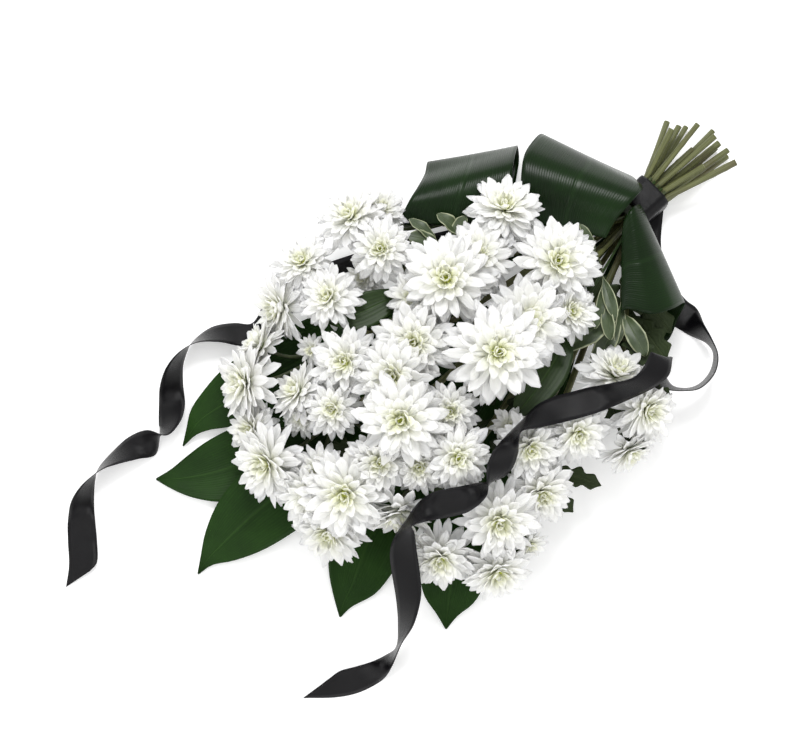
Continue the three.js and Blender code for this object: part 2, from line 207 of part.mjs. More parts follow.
// each rolled leaf: rows from the tucked tip, over the crest and round the outside, to its stalk
const ROLLS = {
  aspidistra_roll_01: [
    [[-116.8,78.0,52.0],[-87.0,110.3,53.0],[-57.2,142.6,54.0],1.4],
    [[-122.9,79.0,53.0],[-95.2,116.7,56.0],[-67.5,154.4,59.0],1.4],
    [[-128.4,92.4,57.0],[-103.1,129.4,60.0],[-77.9,166.4,63.0],1.4],
    [[-133.8,109.3,52.0],[-111.9,144.8,56.5],[-89.9,180.3,61.0],1.4],
    [[-141.5,125.0,34.0],[-121.9,161.1,36.0],[-102.3,197.2,38.0],1.4],
    [[-150.9,137.8,16.0],[-128.8,171.5,16.0],[-106.7,205.3,16.0],1.4],
    [[-147.6,142.1,3.6],[-123.6,171.4,3.4],[-99.5,200.6,3.2],1.4],
    [[-132.0,132.4,2.6],[-110.1,159.3,2.6],[-88.2,186.2,2.6],1.4],
    [[-97.6,129.2,2.8],[-85.4,146.9,2.8],[-73.2,164.7,2.8],1.4],
    [[-72.1,141.7,3.4],[-69.5,147.1,3.4],[-66.9,152.6,3.4],1.4],
    [[-41.9,171.7,4.0],[-43.1,172.6,4.0],[-44.3,173.5,4.0],2.6],
    [[-19.6,211.5,4.4],[-20.8,212.3,4.4],[-22.1,213.2,4.4],2.6],
    [[-4.9,227.2,5.0],[-6.3,227.5,5.0],[-7.8,227.9,5.0],2.6],
    [[-4.8,269.5,5.0],[-6.3,269.5,5.0],[-7.8,269.5,5.0],2.6],
  ],
  aspidistra_roll_02: [
    [[-48.0,153.9,57.0],[-18.5,174.2,60.0],[10.9,194.4,63.0],1.4],
    [[-64.1,165.4,60.0],[-30.2,186.9,62.0],[3.8,208.3,64.0],1.4],
    [[-77.8,178.0,67.0],[-39.4,199.3,68.0],[-1.1,220.7,69.0],1.4],
    [[-89.4,192.7,64.0],[-46.8,213.0,66.0],[-4.1,233.3,68.0],1.4],
    [[-96.4,211.3,48.0],[-50.8,228.8,53.0],[-5.1,246.3,58.0],1.4],
    [[-99.1,225.0,30.0],[-53.8,238.7,38.0],[-8.5,252.5,46.0],1.4],
    [[-92.8,229.2,10.0],[-57.7,243.6,13.0],[-22.6,258.0,16.0],1.4],
    [[-78.5,225.9,3.0],[-52.4,238.9,3.6],[-26.3,252.0,4.2],1.4],
    [[-52.5,224.5,2.4],[-39.8,231.4,2.5],[-27.1,238.2,2.6],1.4],
    [[-30.4,226.6,3.0],[-26.7,227.9,3.0],[-22.9,229.2,3.0],1.4],
    [[-20.1,235.9,3.6],[-20.0,237.4,3.6],[-20.0,238.9,3.6],2.6],
    [[-9.0,227.1,5.0],[-10.4,227.5,5.0],[-11.8,228.0,5.0],2.6],
    [[-8.9,269.5,5.0],[-10.4,269.5,5.0],[-11.9,269.5,5.0],2.6],
  ],
  aspidistra_roll_03: [
    [[20.0,205.1,60.0],[43.3,182.0,60.0],[66.7,159.0,60.0],1.4],
    [[10.7,216.1,63.0],[39.5,190.9,61.5],[68.2,165.7,60.0],1.4],
    [[7.5,227.1,66.0],[46.4,202.4,63.0],[85.3,177.7,60.0],1.4],
    [[7.8,234.8,60.0],[50.6,214.9,56.0],[93.3,195.0,52.0],1.4],
    [[9.7,239.1,50.0],[52.3,224.2,43.0],[94.9,209.2,36.0],1.4],
    [[25.8,237.3,30.0],[61.1,224.5,25.0],[96.4,211.7,20.0],1.4],
    [[44.0,232.5,9.0],[72.2,216.9,8.5],[100.4,201.2,8.0],1.4],
    [[49.5,224.5,2.8],[78.5,204.9,3.0],[107.5,185.3,3.2],1.4],
    [[49.1,216.3,2.4],[77.3,192.7,2.5],[105.5,169.0,2.6],1.4],
    [[40.4,214.9,2.4],[63.0,194.3,2.4],[85.5,173.8,2.4],1.4],
    [[36.8,211.0,2.6],[40.9,211.4,2.6],[44.9,211.8,2.6],1.4],
    [[27.7,229.9,3.4],[28.6,231.1,3.4],[29.5,232.3,3.4],2.6],
    [[16.5,227.1,5.0],[18.0,227.5,5.0],[19.4,227.9,5.0],2.6],
    [[16.5,269.5,5.0],[18.0,269.5,5.0],[19.5,269.5,5.0],2.6],
  ],
};
// each ribbon tail: rows of its two selvedges, from the tie to the cut end
const RIBBONS = {
  ribbon_tail_left: [
    [[-16.7,255.6,0.3],[8.2,246.3,0.3]],
    [[-33.1,224.6,0.3],[-8.7,213.4,0.3]],
    [[-63.6,167.9,0.3],[-38.5,156.2,0.3]],
    [[-100.0,104.9,0.3],[-74.8,93.4,0.3]],
    [[-130.9,49.1,0.3],[-105.7,37.7,0.3]],
    [[-151.0,5.1,0.3],[-125.3,-1.8,0.3]],
    [[-161.7,-21.0,0.4],[-133.7,-25.2,0.4]],
    [[-163.0,-43.7,0.8],[-134.6,-43.4,0.8]],
    [[-152.0,-64.9,10.4],[-128.5,-65.7,0.8]],
    [[-153.3,-74.0,0.8],[-129.7,-80.7,7.6]],
    [[-163.5,-83.7,0.8],[-142.9,-94.4,11.0]],
    [[-173.8,-100.3,2.0],[-156.4,-106.0,19.5]],
    [[-176.0,-120.8,1.5],[-168.7,-122.3,25.8]],
    [[-172.4,-131.2,1.0],[-172.3,-138.9,25.3]],
    [[-165.6,-142.1,0.8],[-170.2,-155.2,22.1]],
    [[-153.8,-152.8,0.4],[-162.9,-169.4,17.4]],
    [[-137.2,-164.4,9.7],[-154.3,-180.6,0.4]],
    [[-127.8,-177.8,16.8],[-141.8,-191.9,0.8]],
    [[-125.1,-193.2,24.1],[-137.7,-194.2,2.0]],
    [[-142.0,-203.4,16.8],[-123.9,-211.4,1.0]],
    [[-151.1,-218.6,0.8],[-129.4,-225.9,11.9]],
    [[-151.3,-235.8,1.5],[-136.3,-241.5,21.2]],
    [[-149.0,-255.3,2.0],[-141.4,-255.6,26.3]],
    [[-142.4,-266.0,1.0],[-143.2,-275.0,24.7]],
    [[-131.4,-277.1,0.4],[-140.3,-291.2,19.5]],
    [[-115.9,-288.4,7.6],[-133.1,-305.7,0.3]],
    [[-102.0,-299.4,2.4],[-118.8,-318.4,0.3]],
    [[-88.0,-311.4,5.3],[-102.7,-331.5,0.3]],
    [[-86.4,-321.0,5.3],[-90.9,-345.4,0.3]],
  ],
  ribbon_tail_right: [
    [[7.8,241.8,0.3],[17.5,266.9,0.3]],
    [[25.6,219.6,0.3],[39.9,241.5,0.3]],
    [[48.7,204.7,0.3],[55.3,230.3,0.3]],
    [[73.4,196.8,0.3],[74.9,223.5,0.3]],
    [[92.1,194.6,0.3],[92.4,221.2,0.3]],
    [[105.0,197.9,0.3],[104.8,222.7,0.3]],
    [[118.6,201.8,0.9],[119.9,212.3,24.0]],
    [[132.2,206.4,4.0],[134.4,207.0,29.3]],
    [[142.9,203.7,8.0],[147.5,200.8,32.8]],
    [[150.6,194.8,9.0],[155.7,191.4,33.6]],
    [[154.0,185.0,11.0],[159.1,180.5,35.5]],
    [[153.9,172.5,14.0],[158.4,166.3,38.3]],
    [[148.8,162.2,18.0],[151.0,154.8,42.3]],
    [[139.5,154.6,24.0],[141.3,144.4,47.2]],
    [[127.2,155.1,36.0],[132.1,138.0,54.1]],
    [[119.5,157.4,54.0],[121.4,134.9,65.6]],
    [[124.6,160.9,76.0],[115.8,141.5,89.9]],
    [[127.6,156.0,88.0],[111.1,145.2,104.0]],
    [[134.6,145.4,90.0],[115.5,133.2,101.4]],
    [[133.9,129.8,90.0],[116.7,119.8,105.8]],
    [[126.4,105.6,90.0],[108.0,102.7,107.2]],
    [[119.0,81.3,101.6],[97.0,89.7,92.0]],
    [[110.8,63.7,103.0],[89.4,74.7,95.0]],
    [[101.3,44.9,108.3],[82.6,60.0,100.0]],
    [[94.2,30.3,117.8],[78.7,45.0,104.0]],
    [[87.8,17.5,128.6],[79.6,28.0,107.0]],
    [[91.8,10.2,131.6],[80.3,11.3,109.0]],
    [[97.6,5.0,111.0],[83.4,-9.7,126.2]],
    [[103.7,-7.5,109.0],[88.9,-22.5,123.2]],
    [[102.7,-20.0,105.0],[98.1,-31.5,127.2]],
    [[92.4,-34.9,100.0],[106.1,-38.7,121.1]],
    [[83.3,-51.7,111.4],[104.2,-57.3,98.0]],
    [[73.8,-67.4,108.3],[94.1,-74.9,95.0]],
    [[70.0,-81.6,90.0],[86.2,-90.2,107.6]],
    [[73.1,-98.1,84.0],[81.9,-99.7,107.7]],
    [[76.8,-115.3,79.0],[85.9,-101.1,98.0]],
    [[83.2,-125.8,72.0],[98.7,-109.6,84.0]],
    [[96.5,-135.9,62.0],[112.4,-118.9,72.1]],
    [[112.6,-146.4,48.0],[126.5,-130.7,62.4]],
    [[127.6,-158.1,30.0],[139.0,-150.4,51.3]],
    [[140.9,-172.8,8.0],[143.6,-169.5,33.0]],
    [[139.7,-183.5,1.0],[151.0,-186.8,23.6]],
    [[135.0,-199.8,18.3],[153.0,-201.7,0.4]],
    [[129.2,-210.7,14.4],[147.6,-221.2,0.3]],
    [[123.5,-221.7,13.9],[137.9,-237.8,0.3]],
    [[121.3,-236.1,7.8],[118.1,-260.2,0.3]],
  ],
};
// each sprig: its twig, and leaves as [base x, y, z, tip x, y, z, half width, roll in degrees]
const SPRIGS = {
  pittosporum_sprig_01: { twig: [[-4.8,269.5,25.9],[-4.8,227.5,25.9],[-19.2,213.3,36.0],[-29.5,186.2,44.0],[-48.6,162.4,46.0],[-61.7,136.5,50.0],[-72.4,103.5,60.0],[-85.4,77.9,64.0]],
    leaves: [[-71.7,105.4,59.5,-102.1,101.7,70.0,7,25],[-76.0,95.5,61.6,-83.9,118.6,70.0,6.5,-20],[-81.9,84.5,63.1,-115.6,81.5,68.0,6,30],[-85.4,77.9,64.0,-101.3,58.9,62.0,8,-25],[-80.7,86.7,62.8,-104.9,70.4,70.0,7.5,10],[-68.8,114.1,56.9,-70.6,85.4,58.0,6,0]] },
  pittosporum_sprig_02: { twig: [[3.8,269.5,25.9],[3.8,227.5,25.9],[-1.2,208.1,46.0],[2.3,184.3,58.0],[22.9,175.4,66.0],[36.4,165.6,70.0],[50.8,155.0,72.0]],
    leaves: [[15.4,178.0,63.6,-12.3,185.1,70.0,4,10],[33.6,167.8,69.3,68.8,149.0,76.0,5.5,10],[37.6,164.7,70.3,62.4,131.2,70.0,4.5,-15],[50.8,155.0,72.0,78.5,134.5,70.0,6,20]] },
  pittosporum_sprig_03: { twig: [[12.4,269.5,25.9],[12.4,227.5,25.9],[23.7,223.1,42.0],[36.2,196.1,46.0],[51.2,175.4,48.0],[65.8,162.3,50.0]],
    leaves: [[65.8,162.3,50.0,107.9,149.0,58.0,8.5,5],[58.4,168.5,49.0,84.0,137.1,54.0,5,-20],[65.8,162.3,50.0,58.4,101.4,66.0,11,10],[65.8,162.3,50.0,86.1,106.9,52.0,9,0]] },
};

// ---- colours of the materials
const mat = (color, roughness, metalness = 0) => new THREE.MeshStandardMaterial({ color, roughness, metalness });
const WHITE = () => mat(0xf2f1ec, 0.6);
const LEAF = () => mat(0x1d3312, 0.38);
const ROLL = () => mat(0x14280f, 0.32);
const PITTO = () => mat(0x566848, 0.5);
const SATIN = () => mat(0x141416, 0.35);
const TIE_M = () => mat(0x2a3323, 0.6);

// ---- helpers
const V = (a) => new THREE.Vector3(a[0], a[1], a[2]);
const onlyPosition = (g) => {
  const h = g.index ? g.toNonIndexed() : g.clone();
  for (const k of Object.keys(h.attributes)) if (k !== 'position') h.deleteAttribute(k);
  return mergeVertices(h, 1e-4);
};
// turns the faces over if they point inwards
const outward = (g) => {
  const p = g.attributes.position, ix = g.index.array;
  const a = new THREE.Vector3(), b = new THREE.Vector3(), c = new THREE.Vector3();
  let vol = 0;
  for (let i = 0; i < ix.length; i += 3) {
    a.fromBufferAttribute(p, ix[i]); b.fromBufferAttribute(p, ix[i + 1]); c.fromBufferAttribute(p, ix[i + 2]);
    vol += a.dot(b.cross(c));
  }
  if (vol < 0) for (let i = 0; i < ix.length; i += 3) { const t = ix[i + 1]; ix[i + 1] = ix[i + 2]; ix[i + 2] = t; }
  return g;
};
const toSolid = (g) => {
  const h = onlyPosition(g);
  return new wasm.Manifold(new wasm.Mesh({
    numProp: 3,
    vertProperties: new Float32Array(h.attributes.position.array),
    triVerts: new Uint32Array(h.index.array),
  }));
};
const toGeometry = (s) => {
  const m = s.getMesh();
  const g = new THREE.BufferGeometry();
  const n = m.numProp, count = m.vertProperties.length / n;
  const pos = new Float32Array(count * 3);
  for (let i = 0; i < count; i++) for (let k = 0; k < 3; k++) pos[i * 3 + k] = m.vertProperties[i * n + k];
  g.setAttribute('position', new THREE.BufferAttribute(pos, 3));
  g.setIndex(new THREE.BufferAttribute(new Uint32Array(m.triVerts), 1));
  return g;
};
const largest = (s) => {
  const parts = s.decompose();
  let best = null;
  for (const p of parts) if (!best || p.volume() > best.volume()) best = p;
  return best;
};

// a closed tube with one ring of vertices at each point of its path
function tube(points, radius, sides = 6) {
  const P = points.map(V), n = P.length - 1;
  const g = new THREE.CylinderGeometry(1, 1, 1, sides, n);
  const T = P.map((_, i) => P[Math.min(i + 1, n)].clone().sub(P[Math.max(i - 1, 0)]).normalize());
  const N = [new THREE.Vector3(0, 0, 1).cross(T[0]).normalize()];
  for (let i = 1; i <= n; i++) N.push(N[i - 1].clone().addScaledVector(T[i], -N[i - 1].dot(T[i])).normalize());
  const p = g.attributes.position;
  for (let k = 0; k < p.count; k++) {
    const i = Math.round((0.5 - p.getY(k)) * n);
    const B = T[i].clone().cross(N[i]);
    const v = P[i].clone().addScaledVector(N[i], p.getX(k) * radius).addScaledVector(B, p.getZ(k) * radius);
    p.setXYZ(k, v.x, v.y, v.z);
  }
  return outward(onlyPosition(g));
}

// a flower head: a shallow dome of petals on a narrow base, turned about its own axis
function headProfile(R, grow = 0) {
  const k = [[0, -0.40], [0.20, -0.36], [0.62, -0.16], [1.0, 0.10], [0.84, 0.30], [0.34, 0.40], [0, 0.38]];
  const pts = k.map(([x, y], i) => [(i === 0 || i === k.length - 1) ? 0 : x * R + grow, y * R + (i < 3 ? -grow : grow)]);
  if (grow > 0) pts.splice(3, 0, [R + grow, 0.10 * R - grow]);   // keeps the rim's underside clear too
  return pts.map(([x, y]) => new THREE.Vector2(x, y));
}
function head(h, grow = 0) {
  const g = new THREE.LatheGeometry(headProfile(h[7], grow), HEAD_SEG);
  const q = new THREE.Quaternion().setFromUnitVectors(new THREE.Vector3(0, 1, 0), new THREE.Vector3(h[4], h[5], h[6]).normalize());
  g.applyQuaternion(q);
  g.translate(h[1], h[2], h[3]);
  return g;
}

// a thin bent sheet through rows of points: a grid of vertices on each side of
// the rows, half the thickness out, joined by a rim and kept above the surface.
// Both sides are split along the same diagonals, so a twisted sheet stays closed.
function sheet(rows, thickness, grow = 0) {
  const nu = rows[0].pts.length - 1, nv = rows.length - 1;
  const P = rows.map((r) => r.pts.map(V));
  const t = rows.map((r) => r.t ?? thickness);
  const U = (i, j) => P[i][Math.min(j + 1, nu)].clone().sub(P[i][Math.max(j - 1, 0)]).normalize();
  const W = (i, j) => P[Math.min(i + 1, nv)][j].clone().sub(P[Math.max(i - 1, 0)][j]).normalize();
  const pos = [];
  const id = (s, i, j) => (s * (nv + 1) + i) * (nu + 1) + j;
  for (let s = 0; s < 2; s++) for (let i = 0; i <= nv; i++) for (let j = 0; j <= nu; j++) {
    const du = U(i, j), dv = W(i, j);
    const n = du.clone().cross(dv).normalize();
    const q = P[i][j].clone();
    q.z = Math.max(q.z, t[i] / 2);
    q.addScaledVector(n, (s ? 1 : -1) * (t[i] / 2 + grow));
    if (grow > 0) {
      if (j === 0) q.addScaledVector(du, -grow);
      if (j === nu) q.addScaledVector(du, grow);
      if (i === 0) q.addScaledVector(dv, -grow);
      if (i === nv) q.addScaledVector(dv, grow);
    }
    pos.push(q.x, q.y, q.z);
  }
  const ix = [];
  const quad = (a, b, c, d) => ix.push(a, b, c, a, c, d);
  for (let i = 0; i < nv; i++) for (let j = 0; j < nu; j++) {
    quad(id(1, i, j), id(1, i, j + 1), id(1, i + 1, j + 1), id(1, i + 1, j));
    ix.push(id(0, i, j), id(0, i + 1, j + 1), id(0, i, j + 1), id(0, i, j), id(0, i + 1, j), id(0, i + 1, j + 1));
  }
  for (let i = 0; i < nv; i++) {
    quad(id(0, i, 0), id(1, i, 0), id(1, i + 1, 0), id(0, i + 1, 0));
    quad(id(1, i, nu), id(0, i, nu), id(0, i + 1, nu), id(1, i + 1, nu));
  }
  for (let j = 0; j < nu; j++) {
    quad(id(0, 0, j), id(0, 0, j + 1), id(1, 0, j + 1), id(1, 0, j));
    quad(id(1, nv, j), id(1, nv, j + 1), id(0, nv, j + 1), id(0, nv, j));
  }
  const g = new THREE.BufferGeometry();
  g.setAttribute('position', new THREE.BufferAttribute(new Float32Array(pos), 3));
  g.setIndex(ix);
  return outward(g);
}
const leafRows = (rows) => rows.map((r) => ({ pts: [r[0], r[1], r[2]], t: r[3] }));
const ribbonRows = (rows) => rows.map((r) => ({ pts: [r[0], r[1]] }));

// a closed ring round the bundle, following its outline
function ring(y0, y1, inner, outer) {
  const grow = (d) => BUNDLE_OUTLINE.map(([x, z], i, all) => {
    const cx = 0, cz = all.reduce((s, q) => s + q[1], 0) / all.length;
    const dx = x - cx, dz = z - cz, l = Math.hypot(dx, dz);
    return [TIE[0] + x + (dx / l) * d, z + (dz / l) * d];
  });
  const path = (Cls, pts) => {
    const s = new Cls();
    pts.forEach(([x, z], i) => (i ? s.lineTo(x, z) : s.moveTo(x, z)));
    s.closePath();
    return s;
  };
  const shape = path(THREE.Shape, grow(outer));
  shape.holes.push(path(THREE.Path, grow(inner).reverse()));
  const g = new THREE.ExtrudeGeometry(shape, { depth: y1 - y0, bevelEnabled: false, steps: 1 });
  g.rotateX(Math.PI / 2);      // the outline's y becomes z, the depth runs to -y
  g.translate(0, y1, 0);
  return onlyPosition(g);
}

// a small pittosporum leaf on its twig
function smallLeaf(l, grow = 0, thickness = 1.0) {
  const a = V(l), b = new THREE.Vector3(l[3], l[4], l[5]);
  const d = b.clone().sub(a), L = d.length(); d.normalize();
  const side = new THREE.Vector3(0, 0, 1).cross(d).normalize().applyAxisAngle(d, THREE.MathUtils.degToRad(l[7]));
  const up = d.clone().cross(side).normalize();
  const prof = [[0, 0.12], [0.25, 0.72], [0.6, 1], [1, 0.16]];
  const rows = prof.map(([t, w]) => {
    const c = a.clone().addScaledVector(d, L * t).addScaledVector(up, Math.sin(t * Math.PI) * L * 0.08);
    const q = (s, h) => { const v = c.clone().addScaledVector(side, s * w * l[6]).addScaledVector(up, h * w * l[6]); return [v.x, v.y, v.z]; };
    return { pts: [q(-1, 0.22), q(0, 0), q(1, 0.22)] };
  });
  return sheet(rows, thickness, grow);
}

// a chrysanthemum leaf on its stem, with a short stalk
function stemLeaf(l, grow = 0, thickness = 0.9) {
  const a = V(l), b = new THREE.Vector3(l[3], l[4], l[5]);
  const d = b.clone().sub(a), L = d.length(); d.normalize();
  const side = new THREE.Vector3(0, 0, 1).cross(d).normalize().applyAxisAngle(d, THREE.MathUtils.degToRad(l[7]));
  const up = d.clone().cross(side).normalize();
  const prof = [[0, 0.10], [0.22, 0.12], [0.45, 0.8], [0.7, 1], [0.9, 0.5], [1, 0.1]];
  const rows = prof.map(([t, w]) => {
    const c = a.clone().addScaledVector(d, L * t).addScaledVector(up, Math.sin(t * Math.PI) * L * 0.08);
    const q = (s, h) => { const v = c.clone().addScaledVector(side, s * w * l[6]).addScaledVector(up, h * w * l[6]); return [v.x, v.y, v.z]; };
    return { pts: [q(-1, 0.15), q(0, 0), q(1, 0.15)] };
  });
  return sheet(rows, thickness, grow);
}

// ---- build
const bouquet = new THREE.Group();
bouquet.name = 'funeral_bouquet';
const add = (name, geometry, material) => {
  const m = new THREE.Mesh(geometry, material);
  m.name = name;
  bouquet.add(m);
  return m;
};

// solids that a flower head gives way to, with their clearance
const keepOut = [];
const box = (s) => s.boundingBox();
const hit = (a, b) => {
  for (let k = 0; k < 3; k++) if (a.max[k] < b.min[k] || b.max[k] < a.min[k]) return false;
  return true;
};
const trim = (solid, list) => {
  let s = solid, b = box(solid);
  for (const q of list) if (hit(b, q.box)) s = s.subtract(q.solid);
  return s;
};
const blocker = (g) => { const solid = toSolid(g); return { solid, box: box(solid) }; };

for (const [name, rows] of Object.entries(LEAVES)) {
  add(name, sheet(leafRows(rows), LEAF_T), LEAF());
  keepOut.push(blocker(sheet(leafRows(rows), LEAF_T, GAP)));
}
for (const [name, rows] of Object.entries(ROLLS)) {
  add(name, sheet(leafRows(rows), ROLL_T), ROLL());
  keepOut.push(blocker(sheet(leafRows(rows), ROLL_T, GAP)));
}
for (const [name, rows] of Object.entries(RIBBONS)) {
  add(name, sheet(ribbonRows(rows), RIBBON_T), SATIN());
  keepOut.push(blocker(sheet(ribbonRows(rows), RIBBON_T, GAP)));
}
for (const [name, s] of Object.entries(SPRIGS)) {
  let solid = toSolid(tube(s.twig, TWIG_R, 5));
  for (const l of s.leaves) solid = solid.add(toSolid(smallLeaf(l)));
  add(name, toGeometry(largest(solid)), PITTO());
  keepOut.push(blocker(tube(s.twig, TWIG_R + GAP, 5)));
  for (const l of s.leaves) keepOut.push(blocker(smallLeaf(l, GAP)));
}
add('binding_tie', ring(TIE[1] - 25, TIE[1] - 25 + TIE_W, 0.5, 0.5 + TIE_T), TIE_M());
add('ribbon_band', ring(TIE[1] - 14, TIE[1] - 14 + RIBBON_W, 0.5, 0.5 + BAND_T), SATIN());

const stems = SPRAYS.map((s) => {
  let solid = toSolid(tube(s.stem, STEM_R, 6));
  let fat = toSolid(tube(s.stem, STEM_R + GAP, 6));
  for (const b of s.br) {
    solid = solid.add(toSolid(tube(b, BRANCH_R, 5)));
    fat = fat.add(toSolid(tube(b, BRANCH_R + GAP, 5)));
  }
  return { solid, fat: { solid: fat, box: box(fat) } };
});
// heads first, each clear of everything that is already there
const placed = SPRAYS.map(() => []);
const wholes = SPRAYS.map((s, i) => {
  const others = stems.filter((_, k) => k !== i).map((q) => q.fat);
  let whole = stems[i].solid;
  for (const h of s.heads) {
    let solid = toSolid(head(h));
    solid = trim(solid, keepOut);
    solid = trim(solid, others);
    for (let k = 0; k < i; k++) solid = trim(solid, placed[k]);
    whole = whole.add(solid);
  }
  for (const h of s.heads) placed[i].push(blocker(head(h, GAP)));
  return whole;
});
// then the leaves on the stems, in what room is left
SPRAYS.forEach((s, i) => {
  const others = stems.filter((_, k) => k !== i).map((q) => q.fat);
  const mine = [];
  for (const l of s.leaves) {
    let solid = toSolid(stemLeaf(l));
    solid = trim(solid, keepOut);
    solid = trim(solid, others);
    for (let k = 0; k < placed.length; k++) if (k !== i) solid = trim(solid, placed[k]);
    // keep only the part that still hangs on its own stem
    for (const p of solid.decompose()) {
      const joined = wholes[i].add(p);
      if (joined.decompose().length === 1) wholes[i] = joined;
    }
    mine.push(blocker(stemLeaf(l, GAP)));
  }
  placed[i].push(...mine);
  add('chrysanthemum_spray_' + s.n, toGeometry(largest(wholes[i])), WHITE());
});

export default bouquet;
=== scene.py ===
"""A funeral sheaf of white spray chrysanthemums lying on its back, with glossy leaves, a collar of rolled leaves, bundled stems and black satin ribbon."""

import math

import bpy
import numpy as np
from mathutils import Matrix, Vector


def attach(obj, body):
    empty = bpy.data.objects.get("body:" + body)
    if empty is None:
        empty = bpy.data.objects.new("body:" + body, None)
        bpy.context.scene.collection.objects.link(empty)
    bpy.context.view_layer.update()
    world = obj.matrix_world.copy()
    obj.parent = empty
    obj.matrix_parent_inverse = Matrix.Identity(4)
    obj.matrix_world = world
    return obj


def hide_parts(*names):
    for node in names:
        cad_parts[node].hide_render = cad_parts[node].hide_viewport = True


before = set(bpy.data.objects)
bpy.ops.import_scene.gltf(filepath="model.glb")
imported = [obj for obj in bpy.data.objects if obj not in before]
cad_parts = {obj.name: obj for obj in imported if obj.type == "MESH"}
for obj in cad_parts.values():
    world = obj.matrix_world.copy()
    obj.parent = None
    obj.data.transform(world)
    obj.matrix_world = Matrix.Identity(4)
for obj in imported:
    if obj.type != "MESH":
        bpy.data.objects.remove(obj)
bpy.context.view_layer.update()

# camera, in the part's frame (mm and degrees)
CAM_AZ, CAM_EL, CAM_DIST, CAM_K = 47.0, 80.0, 2000.0, 0.000425
CAM_TARGET = (-27.75, -10.9, 60.0)

